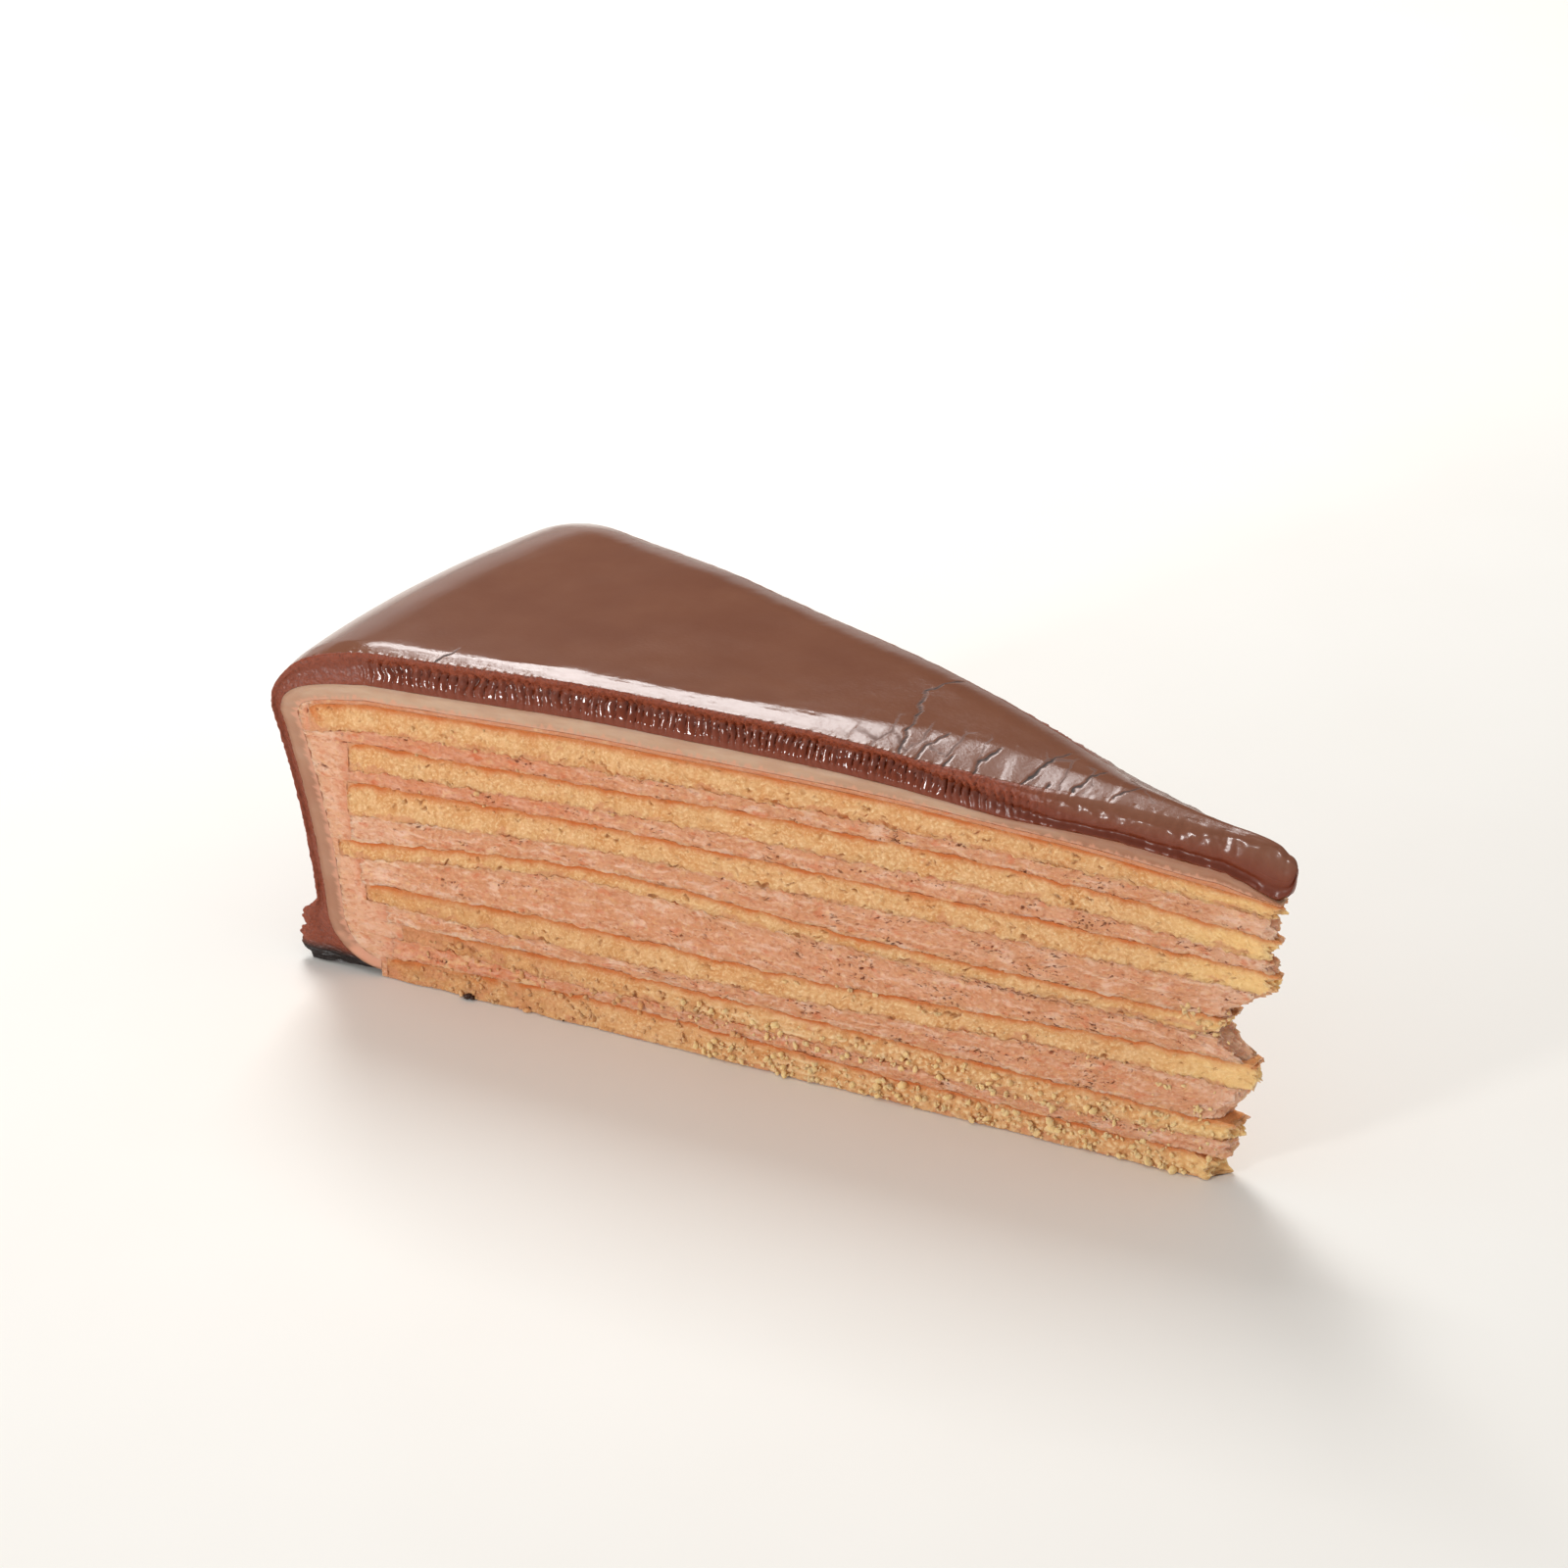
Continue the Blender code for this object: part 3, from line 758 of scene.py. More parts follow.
# Upper side of the buttercream, 0, the marzipan, 1, or the glaze, 2
def topHeight(sheet, r, across):
    height = boundary(len(layers), r, across) + sheets["skin"]
    for added in ("marzipan", "glaze")[:sheet]:
        height = height + curveThrough(wedge["stations"], sheets[added], np.minimum(r, wedge["droopStart"]))
    return height


def rimRadius(sheet, height):
    outer = sheets["footRadius"] + sheets["lean"] * (height / sheets["widestHeight"]) ** 2
    return outer - sum(sheets["walls"][sheet:])


def shoulder(sheet, across, t):
    top = (sheets["shoulderStart"], topHeight(sheet, sheets["shoulderStart"], across))
    side = (rimRadius(sheet, sheets["shoulderHeight"]), sheets["shoulderHeight"])
    reach = (side[0] - top[0]) * sheets["shoulderReach"]
    rise = (top[1] - side[1]) * sheets["shoulderRise"]
    ends = (top, (top[0] + reach, top[1] - reach * sheets["shoulderSlope"]), (side[0], side[1] + rise), side)
    weights = ((1 - t) ** 3, 3 * t * (1 - t) ** 2, 3 * t * t * (1 - t), t**3)
    return tuple(sum(w * p[axis] for w, p in zip(weights, ends)) for axis in (0, 1))


def heel(sheet, turn):
    angle = turn * math.pi / 2
    height, radius = sheets["heelHeight"], sheets["heelRadius"]
    end = sheets["glazeHeel"] if sheet == 1 else sheets["marzipanHeel"]
    return (radius + (rimRadius(sheet, height) - radius) * np.cos(angle),
            height - (height - end) * np.sin(angle))


# Radius and height along a sheet, for each place across: from radius start to its heel
def sheetPath(sheet, across, start, withHeel=True):
    across = across[:, None]
    step, shoulderStart = sheets["step"], sheets["shoulderStart"]
    radii = np.linspace(start, shoulderStart, int((shoulderStart - start) / sheets["topStep"]))[None, :-1]
    t = np.linspace(0, 1, int(15 / step))[None, :]
    drop = np.linspace(sheets["shoulderHeight"], sheets["heelHeight"], int(26 / step))[None, 1:]
    turn = np.linspace(0, 1, int(12 / step))[None, 1:]
    top = (radii, topHeight(sheet, radii, across))
    parts = [top, shoulder(sheet, across, t), (rimRadius(sheet, drop), drop)]
    if withHeel:
        parts.append(heel(sheet, turn))
    flat = np.zeros(across.shape)
    return tuple(np.concatenate([part[axis] + flat for part in parts], axis=1) for axis in (0, 1))


def alongPath(r, z):
    return np.concatenate(([0.0], np.cumsum(np.hypot(np.diff(r), np.diff(z)))))


# How much higher the seam between marzipan and glaze runs near the tip
def tipRise(r, z):
    return lookUp(sheetTips["rise"], r) * (z > 30)


# A closed band through rings of equal length, both ends capped
def makeBand(node, kind, rings, masks, sharpAngle=62.0):
    grid = np.arange(rings[..., 0].size).reshape(rings.shape[:2])
    grid = np.concatenate((grid, grid[:, :1]), axis=1)
    faces = [gridQuads(grid[:, ::-1]), grid[:1, :-1], grid[-1:, -2::-1]]
    makePiece(f"fine_{node}", kind, [node], rings.reshape(-1, 3), faces, masks, sharpAngle)


# Rings up the near cut, over the top, down the far cut and back under. A cut is its points and masks
def joinRings(near, over, far, under, fullUnder=()):
    rings = np.concatenate((near[0], over[:, 1:-1], far[0][:, ::-1], under[:, -2:0:-1]), axis=1)
    blankOver, blankUnder = (np.zeros(side[:, 1:-1, 0].shape) for side in (over, under))
    masks = {}
    for key in near[1]:
        parts = (near[1][key], blankOver, far[1][key][:, ::-1], blankUnder + (key in fullUnder))
        masks[key] = np.concatenate(parts, axis=1)
    return rings, masks


def sheetRings(upper, lower, places, rows, cutRelief):
    up = np.linspace(0, 1, rows + 1)
    over, under = (np.stack([place(r[k], v, z[k]) for k, v in enumerate(places)], axis=1)
                   for r, z in (upper, lower))
    paths = [values[0][:, None] for values in (*upper, *lower)]

    def cutAt(k, side):
        out, masks = cutRelief(side, up[None, :], *paths)
        face = blend(under[:, k][:, None], over[:, k][:, None], up[:, None])
        return face + outwards(side) * out[..., None], masks

    return joinRings(cutAt(0, -1.0), over, cutAt(-1, 1.0), under)


marzipanCut = {"rows": 9, "bulge": 0.10, "drag": 0.06}


def makeMarzipan():
    look = marzipanCut
    places = np.array((-1.0, -0.8, -0.4, 0.0, 0.4, 0.8, 1.0))
    (rUpper, zUpper), (rLower, zLower) = (sheetPath(sheet, places, sheetTips["tipStart"]) for sheet in (1, 0))
    fade = ease(13.0, 8.5, rUpper) * (zUpper > 30)
    zUpper = blend(zUpper, curve(sheetTips["marzipanUpper"], rUpper), fade) - 0.02
    zUpper = zUpper + tipRise(rUpper, zUpper)
    zLower = blend(zLower, curve(sheetTips["marzipanLower"], rLower), fade) + 0.02

    def cutRelief(side, up, rOver, zOver, rUnder, zUnder):
        s = alongPath(rOver[:, 0], zOver[:, 0])[:, None]
        thick = np.abs(zOver - zUnder) * up
        out = look["bulge"] * (1 - (2 * up - 1) ** 2)
        out = out + look["drag"] * fractal(s / 4.0, thick / 0.5 + side * 9, 501, 3)
        height = blend(zUnder, zOver, up)
        creamy = ease(5.0, 2.5, height + 1.2 * fractal(s / 2.0, thick, 503, 2)) * ease(1.0, 0.7, up)
        creamy = np.maximum(creamy, 0.8 * ease(0.3, 0.1, up + 0.3 * fractal(s / 0.9, 2.0, 507, 3)))
        fromRim = wedge["cutLength"] - rOver
        # The edge colour darkens the cut near the glaze, towards the tip and down the rim's wall. On the wall
        # it is painted shade.
        edge = 0.5 * ease(0.72, 1.0, up) + 0.85 * ease(80, 108, fromRim) + 0.8 * ease(40, 30, height)
        edge = edge + 0.25 * fractal(s / 5.0, thick / 0.6, 505, 3)
        return out, {"edge": np.clip(edge, 0, 1), "creamy": creamy}

    upper, lower = (rUpper, zUpper), (rLower, zLower)
    makeBand("marzipan", "marzipan", *sheetRings(upper, lower, places, look["rows"], cutRelief))


makeMarzipan()

coatMesh = {
    "rows": 14,
    "clearance": 0.03,
    "gap": 0.04,  # to the marzipan and to the top sponge
    "rimClearance": 0.5,
    "endSteps": 8,
}


# Outer and inner points of the coat's section, from near the tip to the base
def coatPath(across):
    gap, rimClearance, steps = (coatMesh[key] for key in ("gap", "rimClearance", "endSteps"))
    radii = np.arange(sheetTips["tipStart"], sheets["shoulderStart"], sheets["step"])
    skin = topHeight(0, radii, across) - gap
    skin = blend(skin, curve(sheetTips["marzipanLower"], radii) - gap, ease(13.0, 8.5, radii))
    base = boundary(len(layers), radii, across) + gap
    over = list(zip(radii, np.maximum(skin, base + 0.06)))
    under = list(zip(radii, base))
    turn = np.array(shoulder(0, across, np.linspace(0, 1, int(13 / sheets["step"])))).T
    for r, z in turn:
        share = (r - turn[0][0]) / (turn[-1][0] - turn[0][0])
        inner = blend(sheets["shoulderStart"], layers[-1][3] + rimClearance, share)
        over.append((r, z - gap * (1 - share)))
        under.append((inner, float(boundary(len(layers), inner, across)) + gap))
    for level in range(len(layers) - 1, -1, -1):
        ends = [layers[k][3] + rimClearance for k in (level, max(level - 1, 0))]
        heights = [float(boundary(level, end, across)) for end in ends]
        if level == 0:
            heights[0] = sheets["marzipanHeel"]
        for end, height in zip(ends, heights):
            start, startOver = under[-1], over[-1][1]
            endOver = min(height, startOver - 0.2)
            for share in np.arange(1, steps + 1) / steps:
                under.append((blend(start[0], end, share), blend(start[1], height, share)))
                over.append(coatOuter(blend(startOver, endOver, share)))
    return over, under


def coatOuter(height):
    heelHeight, gap = sheets["heelHeight"], coatMesh["gap"]
    if height >= heelHeight:
        return (rimRadius(0, height) - gap, height)
    end = sheets["heelRadius"] - coatMesh["clearance"]
    width = rimRadius(0, heelHeight) - gap - end
    share = min((heelHeight - height) / (heelHeight - sheets["marzipanHeel"]), 1.0)
    return (end + width * math.sqrt(1 - share * share), max(height, 0.0))


def makeCoat():
    places = np.array((-1.0, -0.5, 0.0, 0.5, 1.0))
    paths = np.array([coatPath(v) for v in places])
    upper, lower = (np.moveaxis(paths[:, k], -1, 0) for k in (0, 1))

    def cutRelief(side, up, rOver, zOver, rUnder, zUnder):
        r, z = blend(rUnder, rOver, up), blend(zUnder, zOver, up)
        s = wedge["cutLength"] - r if side < 0 else 150 + r
        out, masks = smearRelief(s, z, 901, -0.6)
        width = np.hypot(rOver - rUnder, zOver - zUnder)
        thin = ease(0.3, 2.0, width)
        beside = ease(1.6, 0.0, up * width + 0.8 * fractal(s / 1.2, z / 1.6, 907, 3))
        skin = (1 - thin) * ease(28, 32, z)
        masks["pale"] = np.clip(0.6 * masks["pale"] + 0.35 * thin, 0, 1)
        masks["blotch"] = np.clip(0.7 * masks["blotch"] + 0.5 * beside * thin + 0.5 * skin, 0, 1)
        return np.clip(out, -0.5, 0.3) * thin, masks

    makeBand("cream_coat", "cream", *sheetRings(upper, lower, places, coatMesh["rows"], cutRelief))


makeCoat()
print("sheets ready")

# Names ending in At hold pairs: X on the near cut and the value there
glazeMesh = {
    "raise": 0.8,  # how much higher the middle stands than in the sheet's own path
    "nearDropAt": (
        (0, 0.45), (20, 0.42), (50, 0.42), (70, 0.55), (82, 0.95), (97, 0.9), (107, 0.35), (118, 0.2)),
    "nearBandAt": ((0, 3.0), (20, 2.6), (50, 2.8), (70, 4.0), (82, 6.4), (106, 6.4), (118, 4.0)),
    "insetAt": ((0, 0.6), (5, 0.32), (14, 0.22), (82, 0.25), (94, 0.8), (106, 1.9), (124, 1.5)),
    "insetLimit": 0.62,  # of half the width
    "cornerAt": ((0, 0.3), (8, 0.16), (14, 0.07), (82, 0.08), (94, 0.24), (106, 0.5), (128, 0.5)),
    "hollowAt": (
        (0, 0.35), (14, 0.6), (36, 0.62), (50, 0.8), (80, 0.8), (92, 0.35), (104, 0.55), (128, 0.4)),
    "hollowPlaceAt": ((0, 0.5), (14, 0.36), (82, 0.36), (100, 0.8), (128, 0.8)),
    "hollowWidthAt": ((0, 0.25), (14, 0.2), (82, 0.2), (100, 0.09), (128, 0.09)),
    "pitchAt": ((10, 1.3), (28, 1.3), (75, 0.95), (105, 1.1)),  # of the saw ridges
    "slopeReach": 0.46,  # share of the cut's height that slopes up from the hollow
    "rollPower": 1.5,
    "farDrop": 0.8,
    "farBand": 4.5,
    "bandLimit": 0.85,
    "fade": 8.0,
    "nearBandPoints": 20,
    "middlePoints": 22,
    "farBandPoints": 8,
    "nearRows": 22,
    "farRows": 8,
    "underPlaces": (-1.0, -0.6, 0.0, 0.6, 1.0),
    "noseUpper": ((2.2, 43.3), (3.4, 44.1), (6.0, 44.5), (9.5, 44.6)),
    "noseUnder": ((2.2, 38.9), (3.2, 38.2), (6.0, 38.6), (9.5, 39.5)),
    "noseSteps": 12,
    "smoothing": 260,  # rounds over of the bend where the top meets the shoulder
    "foot": ((129.2, 8.5), (130.4, 7.2), (131.6, 4.8), (131.3, 2.4), (130.2, 0.0)),
    "footRaggedness": 0.9,
    "ridgeDepth": 0.4,
    "feather": 0.022,
    "plate": (3.8, 8.0),  # cracked plates near the tip, along and across the slice
    "plateTilt": 0.038,
}

# Cracks across the top near the tip, as (X, Y) seen from above
glazeCracks = (
    ((77.5, 9.0), (76.0, 4.0), (78.0, 0.0), (79.5, -4.0), (81.5, -9.2)),
    ((97.0, 2.0), (96.3, -3.5), (95.8, -7.5)),
    ((84.0, -3.0), (83.2, -6.5), (83.8, -9.4)),
    ((90.5, -2.0), (90.0, -5.5), (90.8, -8.0)),
    ((102.5, 1.5), (102.0, -2.5), (101.4, -6.0)),
    ((107.5, 0.5), (106.5, -2.5), (106.8, -5.0)),
    ((87.0, -8.6), (86.8, -6.2)),
    ((99.5, -6.8), (98.8, -4.2)),
    ((22.0, -21.5), (22.5, -18.5)),
)


def distanceToCracks(x, y):
    away = np.full(x.shape, 99.0)
    for line in glazeCracks:
        for (ax, ay), (bx, by) in zip(line, line[1:]):
            length = (bx - ax) ** 2 + (by - ay) ** 2
            t = np.clip(((x - ax) * (bx - ax) + (y - ay) * (by - ay)) / length, 0, 1)
            away = np.minimum(away, np.hypot(x - ax - t * (bx - ax), y - ay - t * (by - ay)))
    return away


# Foot of the glaze: bulging lumps of its own noise, then flat under the slice
def footPath(across, count):
    foot = np.array(glazeMesh["foot"])
    t = np.linspace(0, 1, count + 1)[1:, None]
    r, z = (curveThrough(np.linspace(0, 1, len(foot)), values, t) for values in foot.T)
    coarse = [noise.noise(Vector((float(v) * 4.1, 7.7, 1.3))) for v in across]
    swell = 0.85 + glazeMesh["footRaggedness"] * np.array(coarse)
    swell = swell + 0.7 * fractal(across * 26.0 / 2.4, z / 2.0, 611, 3) * ease(0.05, 0.35, t)
    return blend(foot[0, 0], r, np.clip(swell, -0.2, 1.35)), np.maximum(z, 0.0)


def makeGlaze():
    look = glazeMesh
    cut = wedge["cutLength"]
    step = sheets["step"]
    topStart = 9.5
    noseRadii = np.arange(2.2, topStart, step)
    noseRows = len(noseRadii)
    footRows = int(12 / step)
    # Shares across at each station come from the width in the middle
    middle = sheetPath(2, np.array([0.0]), topStart, withHeel=False)[0][0]
    stations = np.concatenate((noseRadii, middle, np.full(footRows, 131.0)))[:, None]
    halfWidth = halfWidthAt(stations)
    nearWidth, nearDrop, inset = (
        lookUp(look[key], cut - stations) for key in ("nearBandAt", "nearDropAt", "insetAt"))
    inset = np.minimum(inset, look["insetLimit"] * halfWidth)
    insetShare = inset / halfWidth
    nearBand, farBand = (
        np.linspace(0, 1, look[key] + 1) ** 1.25 for key in ("nearBandPoints", "farBandPoints"))
    farBand = farBand[::-1]
    nearReach, farReach = (
        np.minimum(width / halfWidth, look["bandLimit"]) * (1 - insetShare)
        for width in (nearWidth, look["farBand"]))
    nearShares = -1 + insetShare + nearReach * nearBand
    farShares = 1 - insetShare - farReach * farBand
    between = np.linspace(0, 1, look["middlePoints"] + 2)[1:-1]
    between = blend(nearShares[:, -1:], farShares[:, :1], between)
    across = np.concatenate((nearShares, between, farShares), axis=1)
    drop = np.zeros(across.shape)
    drop[:, :len(nearBand)] = nearDrop * (1 - nearBand) ** look["rollPower"]
    drop[:, -len(farBand):] = look["farDrop"] * (1 - farBand) ** 2
    # The top, shoulder and wall follow the sheet's own path at every place across
    rUpper, zUpper = np.empty((2, *across.shape))
    noseR, noseZ = np.array(look["noseUpper"]).T
    rUpper[:noseRows] = noseRadii[:, None]
    for k, v in enumerate(across[noseRows]):
        heights = np.append(noseZ[:-1], topHeight(2, topStart, v))
        zUpper[:noseRows, k] = curveThrough(noseR, heights, noseRadii)
    places = np.linspace(-1, 1, 9)
    paths = sheetPath(2, places, topStart, withHeel=False)
    footStart = noseRows + paths[0].shape[1]
    for values, path, foot in zip((rUpper, zUpper), paths, footPath(across[-1], footRows)):
        for i, column in enumerate(path.T, noseRows):
            values[i] = np.interp(across[i], places, column)
        values[footStart:] = foot
    # The bend at the shoulder is evened out, with both ends of the stretch left as they are
    bend = slice(noseRows + int((110 - topStart) / sheets["topStep"]), footStart - int(16 / step))
    weight = ease(111.0, 119.0, rUpper[bend]) * ease(36.0, 40.0, zUpper[bend])
    for values in (rUpper, zUpper):
        smooth = values[bend].copy()
        for _ in range(look["smoothing"]):
            smooth[1:-1] = (smooth[:-2] + 2 * smooth[1:-1] + smooth[2:]) / 4
        values[bend] = blend(values[bend], smooth, weight)
    onTop = np.clip((zUpper - sheets["widestHeight"]) / look["fade"], 0.0, 1.0)
    zUpper = zUpper + (look["raise"] - drop) * onTop
    upper = place(rUpper, across, zUpper)
    # Cracks and gentle unevenness of the top
    topX, topY = upper[..., 0] + cut - wedge["tipX"], upper[..., 1]
    warpX, warpY = (0.5 * fractal(topX / 1.5, topY / 1.5, seed, 2) for seed in (641, 643))
    crack = ease(0.22, 0.05, distanceToCracks(topX + warpX * 0.7, topY + warpY * 0.7)) * onTop
    fromCut = (1 + across) * halfWidth
    cracked = ease(72, 80, topX) * ease(113, 107, topX) * ease(9.0, 6.0, fromCut)
    shallow = ease(28, 48, topX) * ease(5.0, 3.0, fromCut) * ease(80, 72, topX)
    platesX, platesY = look["plate"]
    platesAt = ((topX + 0.25 * topY + 0.5 * warpX) / platesX, topY / platesY + 0.1 * warpY)
    near, second, luck, (offX, offY) = cells(*platesAt, 651)
    plates = ease(0.1, 0.0, second - near) * cracked
    allCracks = np.maximum(crack, 0.5 * plates * ease(0.4, 0.5, luck))
    tilt = (luck - 0.5) * offX * platesX + 0.6 * ((luck * 7.13) % 1.0 - 0.5) * offY * platesY
    tilt = look["plateTilt"] * tilt * ease(0.0, 0.28, second - near) * (cracked + 0.6 * shallow)
    calm = 1 - 0.85 * cracked
    swell = 0.03 * fractal(topX / 7.0, topY / 5.0, 661, 2)
    swell = swell + 0.008 * calm * fractal(topX / 1.2, topY / 1.6, 663, 2)
    feather = look["feather"] * fractal(topX / 7.0, fromCut / 0.8, 665, 3) * ease(8.0, 3.0, fromCut) * calm
    feather = feather * (0.35 + 0.65 * ease(16, 34, topX))
    upper[..., 2] += onTop * (swell + tilt + feather - 0.07 * crack - 0.04)
    edgeZ = 0.09 * fractal(topX[:, :1] / 0.7, 3.0, 667, 2)
    upper[..., 2] += edgeZ * ease(0.5, 0.0, fromCut - inset) * ease(100, 90, topX)
    # The underside follows the marzipan, its last row once more
    places = np.array(look["underPlaces"])
    pathR, pathZ = sheetPath(1, places, topStart)
    joined = topHeight(1, topStart, places)[:, None] - look["noseUnder"][-1][1]
    noseZ = curve(look["noseUnder"], noseRadii)
    noseZ = blend(noseZ, noseZ + joined, ease(6.0, topStart, noseRadii))
    rUnder = np.concatenate((noseRadii + 0 * joined, pathR, pathR[:, -1:]), axis=1).T
    zUnder = np.concatenate((noseZ, pathZ, pathZ[:, -1:]), axis=1).T + 0.02
    under = place(rUnder, places, zUnder + tipRise(rUnder, zUnder))
    s = alongPath(rUpper[:, 0], zUpper[:, 0])[:, None]
    nearX = cut - rUpper[:, :1]
    reachAt, hollowAt, hollowPlace, hollowWidth, pitch = (
        lookUp(look[key], nearX)
        for key in ("cornerAt", "hollowAt", "hollowPlaceAt", "hollowWidthAt", "pitchAt"))

    def rounded(share):
        return inset * (1 - np.sqrt(1 - np.clip(share, 0, 1) ** 2))

    # A cut hollowed and scored by the knife, from the upper edge down to the marzipan
    def cutFace(k, rows, side):
        depth = np.linspace(1, 0, rows + 1)[None, :] ** 1.3  # 0 at the upper edge, 1 at the marzipan
        edge = place(rUpper[:, k], side, upper[:, k, 2])
        face = blend(edge[:, None], under[:, k][:, None], depth[..., None])
        scooped = hollowAt * (1 + 0.3 * fractal(s / 9.0, 4.0, 683, 2))
        above = np.exp(-((depth - hollowPlace) / hollowWidth) ** 2)
        below = np.where(nearX < 92, np.clip(1 - (depth - hollowPlace) / look["slopeReach"], 0, 1), above)
        out = -rounded(1 - depth / reachAt) - scooped * np.where(depth < hollowPlace, above, below)
        out = out + 0.22 * ease(84, 100, nearX) * np.exp(-((depth - 0.94) / 0.05) ** 2)
        endCorner = np.clip(1 - (1 - depth) / 0.4, 0, 1) * ease(118, 127, nearX)
        out = out - rounded(endCorner)
        # Saw ridges with rounded crests and sharp grooves
        saw = ease(5, 15, nearX) * ease(104, 90, nearX)
        turns = np.cumsum(np.abs(np.gradient(s, axis=0)) / pitch, axis=0)
        turns = turns + 0.6 * depth + 0.35 * fractal(s / 6.0, depth * 2.0, 671, 2)
        turns = turns + 0.12 * fractal(s / 0.9, depth * 3.0, 675, 2)
        teeth = (1 - np.abs(np.sin(math.pi * turns))) ** 1.8
        size = 0.55 + 0.9 * chance(np.floor(turns), side + 2.0, 679)
        inDepth = ease(0.12, 0.3, depth) * (0.2 + 0.8 * ease(0.95, 0.6, depth))
        out = out - look["ridgeDepth"] * teeth * size * saw * inDepth
        lumpy = 0.03 + 0.05 * ease(8, 20, nearX) + 0.08 * ease(88, 100, nearX)
        out = out + lumpy * fractal(s / 2.2, depth * 3.0 + side * 7, 673, 3)
        lip = ease(0.42, 0.26, depth + 0.12 * fractal(s / 0.8, depth * 3.0, 677, 3)) * saw
        lip = np.maximum(lip, ease(0.2, 0.08, depth) * ease(100, 90, nearX))
        lip = np.maximum(lip, 0.75 * ease(14, 7, nearX) * (0.7 + 0.3 * np.abs(2 * depth - 1)))
        out = out + 0.16 * fractal(s / 0.55, depth * 6.0, 681, 2) * lip * ease(0.0, 0.05, depth)
        out = np.clip(out, -0.75 * halfWidth, 0.3)
        # The deep colour is painted shade in the hollow under the lip and in the grooves between the saw
        # ridges
        shadow = 0.7 * np.exp(-((depth - hollowPlace) / 0.22) ** 2) * (0.75 - 0.3 * ease(88, 104, nearX))
        deep = np.maximum(shadow, ease(0.5, 1.0, teeth) * saw * inDepth * ease(1.0, 0.7, depth))
        return face + outwards(side) * out[..., None], {
            "cut": ease(0.0, 0.1 + 0.7 * ease(92, 104, nearX), depth),
            "deep": np.clip(deep, 0, 1) * (1 - 0.9 * lip),
            "lip": lip,
        }

    nearCut, farCut = cutFace(0, look["nearRows"], -1.0), cutFace(-1, look["farRows"], 1.0)
    rings, masks = joinRings(nearCut, upper, farCut, under, fullUnder=("cut",))
    masks["crack"] = np.zeros(rings.shape[:2])
    masks["crack"][:, look["nearRows"] + 1:][:, :across.shape[1] - 2] = allCracks[:, 1:-1]
    # The nose closes as a dome
    centre = rings[0].mean(axis=0)
    dome = []
    for k in range(look["noseSteps"], 0, -1):
        turn = k / look["noseSteps"] * math.pi / 2
        shrunk = centre + (rings[0] - centre) * max(math.cos(turn), 0.04)
        shrunk[:, 0] = rings[0][:, 0] + 1.15 * math.sin(turn)
        dome.append(shrunk)
    rings = np.concatenate((dome, rings))
    for key, values in masks.items():
        masks[key] = np.concatenate((np.repeat(values[:1], len(dome), axis=0), values))
    height = rings[..., 2]
    towardsRim = wedge["tipX"] - rings[..., 0]
    # Painted shadow low down where the glaze meets the floor, reaching up to about 3 mm at the heel
    darkBase = ease(3.0, 1.4, height) * ease(112, 118, towardsRim) * ease(131.0, 129.6, towardsRim)
    darkBase = np.maximum(darkBase, ease(0.9, 0.3, height))
    foot = ease(8.0, 6.4, height) * ease(129.0, 130.2, towardsRim)
    masks["satin"] = ease(46, 34, towardsRim) * (0.3 + 0.7 * masks["cut"])
    masks["darkBase"] = darkBase
    masks["lip"] = np.maximum(masks["lip"], foot * (1 - darkBase))
    makeBand("glaze", "glaze", rings, masks, 70.0)


makeGlaze()
print("glaze ready")

# Loose crumbs on the near cut: how many, X range, height range, size range, how far out and how pale
crumbGroups = (
    {"count": 250, "x": (54, 118), "z": (0.2, 3.0), "size": (0.14, 0.48), "out": 0.2, "pale": 1.0},
    {"count": 190, "x": (52, 116), "z": (4.6, 7.6), "size": (0.14, 0.42), "out": 0.15, "pale": 1.0},
    {"count": 150, "x": (15, 62), "z": (0.2, 7.4), "size": (0.16, 0.44), "out": 0.02, "pale": 0.0},
    {"count": 26, "x": (66, 112), "z": (12.6, 14.2), "size": (0.14, 0.32), "out": 0.2, "pale": 0.7},
    {"count": 26, "x": (116, 122), "z": (18.5, 22.5), "size": (0.18, 0.45), "out": -0.35, "pale": 0.7},
    {"count": 40, "x": (112, 121), "z": (0.5, 12.0), "size": (0.15, 0.4), "out": -0.1, "pale": 1.0},
    {"count": 30, "x": (6, 45), "z": (26.0, 38.0), "size": (0.12, 0.26), "out": 0.1, "pale": 0.3},
)
# Dark lumps at the floor along the near cut, in the glaze's darkest colour
darkCrumbs = ((22.6, 0.25, 0.42), (23.3, 0.2, 0.3), (36.0, 0.15, 0.16))  # X, height, size


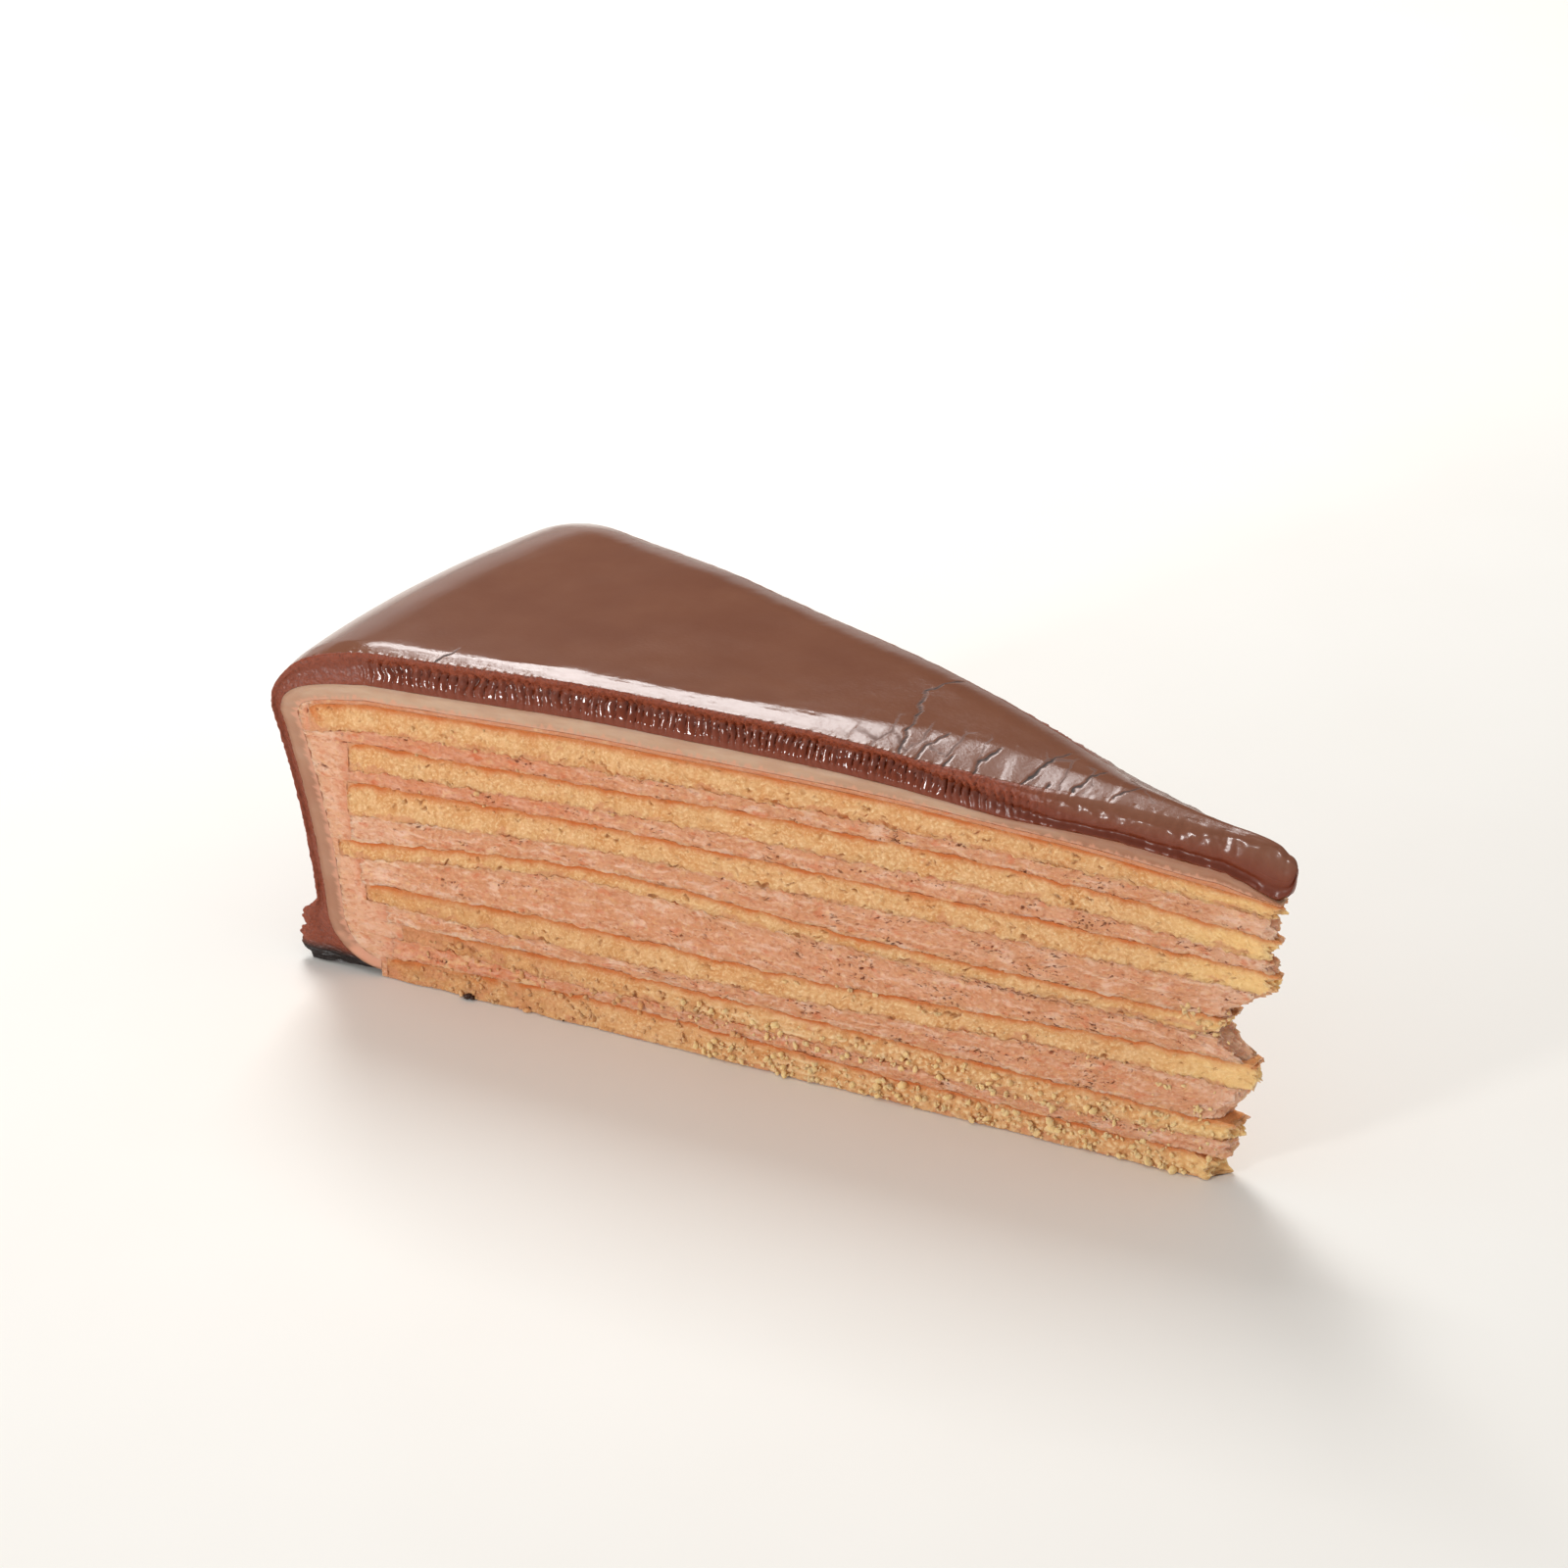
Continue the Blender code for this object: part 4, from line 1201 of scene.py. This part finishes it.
def makeCrumbs():
    shape = bmesh.new()
    bmesh.ops.create_icosphere(shape, subdivisions=2, radius=1.0)
    ball = np.array([v.co[:] for v in shape.verts])
    shape.verts.index_update()
    triangles = np.array([[v.index for v in face.verts] for face in shape.faces])
    shape.free()
    random = np.random.default_rng(77)

    def lump(x, z, size, out, number):
        middle = place(wedge["cutLength"] - x, -1.0, z) + outwards(-1.0) * out
        bumps = 1 + 0.5 * fractal(ball[:, 0] * 1.3 + number * 7, ball[:, 1] * 1.3 + ball[:, 2] * 2.1, 81, 2)
        squash = 0.55 + 0.9 * random.random(3)
        turned = Matrix.Rotation(6.28 * random.random(), 3, random.random(3) - 0.5)
        made = middle + (ball * bumps[:, None] * squash * size) @ np.array(turned)
        made[:, 2] = np.maximum(made[:, 2], 0.01)
        return made

    def addCrumbs(name, kind, lumps, masks):
        faces = np.concatenate([triangles + k * len(ball) for k in range(len(lumps))])
        makePiece(name, kind, [], np.concatenate(lumps), [faces], masks)

    lumps = []
    for group in crumbGroups:
        for number in range(group["count"]):
            x, z = (blend(*group[key], random.random()) for key in ("x", "z"))
            size = blend(*group["size"], random.random() ** 2.2)
            lumps.append(lump(x, z, size, group["out"] * random.random() + 0.2 * size, number))
    pale = np.concatenate([np.full(group["count"], group["pale"]) for group in crumbGroups])
    pale = np.repeat(pale * (0.8 + 0.2 * random.random(len(lumps))), len(ball))
    # The relief value paints light on the crumbs, more on the pale ones
    masks = {"relief": 0.45 + 0.5 * pale, "bright": 0.6 * pale, "smeared": 0.3 * (1 - pale)}
    addCrumbs("crumbs", "sponge", lumps, {**masks, "poreShade": 0 * pale, "browned": 0 * pale})
    dark = [lump(*crumb, 0.25, number) for number, crumb in enumerate(darkCrumbs)]
    addCrumbs("glaze_crumbs", "glaze", dark, {"darkBase": np.full(len(dark) * len(ball), 0.8)})


makeCrumbs()
print("crumbs ready")

floorLook = {"colour": paint(243, 241, 236), "patches": paint(239, 236, 230), "roughness": 0.7, "size": 6.0}


def makeFloor():
    mesh = bpy.data.meshes.new("floor")
    half = floorLook["size"] / 2
    corners = [(x * half, y * half, 0) for x, y in ((-1, -1), (1, -1), (1, 1), (-1, 1))]
    mesh.from_pydata(corners, [], [(0, 1, 2, 3)])
    floor = bpy.data.objects.new("floor", mesh)
    bpy.context.scene.collection.objects.link(floor)
    finish = bpy.data.materials.new("pale floor")
    finish.use_nodes = True
    tree = finish.node_tree
    tree.nodes["Principled BSDF"].inputs["Roughness"].default_value = floorLook["roughness"]
    colour = mixColour(tree, grain(tree, 40.0, 3.0), floorLook["colour"], floorLook["patches"])
    mesh.materials.append(complete(finish, colour))
    floor.location.z = -0.0001


skyLook = {
    "colour": (1.0, 0.985, 0.97, 1.0),
    "strength": 0.72,
    "dimStrength": 0.08,  # behind the slice, between the backdrop and the light overhead
    "dimTowards": (-0.61, 0.79),
    "dimFrom": 0.2,
    "dimTo": 0.62,
    "frontStrength": 0.5,  # high up on the camera's side
    "frontFrom": 0.3,
}

softboxes = {
    "softbox": {
        "direction": (-0.517, 0.4, 0.79), "away": 0.7, "size": (0.22, 0.34), "turn": -32.0, "power": 2.8},
    "window": {
        "direction": (-0.26, -0.94, 0.22), "away": 0.9, "size": (0.12, 0.09), "turn": 0.0, "power": 3.0},
    # On the bend of the shoulder
    "side": {
        "direction": (-0.7, 0.47, 0.54), "away": 0.8, "size": (0.11, 0.11), "turn": 0.0, "power": 0.4},
}


def addSoftbox(name, direction, away, size, turn, power):
    light = bpy.data.lights.new(name, "AREA")
    light.shape = "RECTANGLE"
    light.size, light.size_y = size
    light.energy = power
    lamp = bpy.data.objects.new(name, light)
    lamp.location = Vector(direction).normalized() * away
    facing = Vector(direction).to_track_quat("Z", "Y").to_matrix()
    lamp.rotation_euler = (facing @ Matrix.Rotation(math.radians(turn), 3, "Z")).to_euler()
    bpy.context.scene.collection.objects.link(lamp)


def makeLights():
    look = skyLook
    world = bpy.data.worlds.new("studio")
    bpy.context.scene.world = world
    world.use_nodes = True
    tree = world.node_tree
    x, y, z = addNode(tree, "SeparateXYZ", {0: addNode(tree, "TexCoord").outputs["Generated"]}).outputs
    towardsX, towardsY = look["dimTowards"]
    backwards = calculate(tree, "ADD", times(tree, x, towardsX), times(tree, y, towardsY))

    def edgeAt(height, soft):
        return remap(tree, z, height - soft, height + soft)

    band = times(tree, edgeAt(look["dimFrom"], 0.06), edgeAt(look["dimTo"], -0.06))
    dim = times(tree, band, remap(tree, backwards, 0.15, 0.5))
    front = times(tree, remap(tree, backwards, -0.05, -0.45), edgeAt(look["frontFrom"], 0.12))
    strength = remap(tree, dim, 0.0, 1.0, look["strength"], look["dimStrength"])
    strength = remap(tree, front, 0.0, 1.0, strength, look["frontStrength"])
    background = tree.nodes["Background"]
    background.inputs["Color"].default_value = look["colour"]
    tree.links.new(strength, background.inputs["Strength"])
    for name, settings in softboxes.items():
        addSoftbox(name, **settings)


cameraLook = {
    "lens": 101.25,
    "sensor": 36.0,
    "down": 27.61,  # degrees below level
    "around": 37.59,
    "roll": -0.59,
    "away": 551.2,
    "target": (-17.725, 16.98, 20.0),
}


def makeCamera():
    look = cameraLook
    down, around, roll = (math.radians(look[key]) for key in ("down", "around", "roll"))
    level = Vector((-math.sin(around), math.cos(around), 0.0))
    right = Vector((math.cos(around), math.sin(around), 0.0))
    ahead = level * math.cos(down) - Vector((0, 0, math.sin(down)))
    up = level * math.sin(down) + Vector((0, 0, math.cos(down)))
    turnedRight = right * math.cos(roll) + up * math.sin(roll)
    turnedUp = up * math.cos(roll) - right * math.sin(roll)
    pose = Matrix((turnedRight, turnedUp, -ahead)).transposed().to_4x4()
    pose.translation = (Vector(look["target"]) - ahead * look["away"]) * mm
    camera = bpy.data.objects.new("camera", bpy.data.cameras.new("camera"))
    camera.data.lens = look["lens"]
    camera.data.sensor_width = look["sensor"]
    camera.data.clip_start = 0.01
    camera.matrix_world = pose
    bpy.context.scene.collection.objects.link(camera)
    bpy.context.scene.camera = camera


makeFloor()
makeLights()
makeCamera()
bpy.context.scene.view_settings.view_transform = "Standard"
print("stage ready")
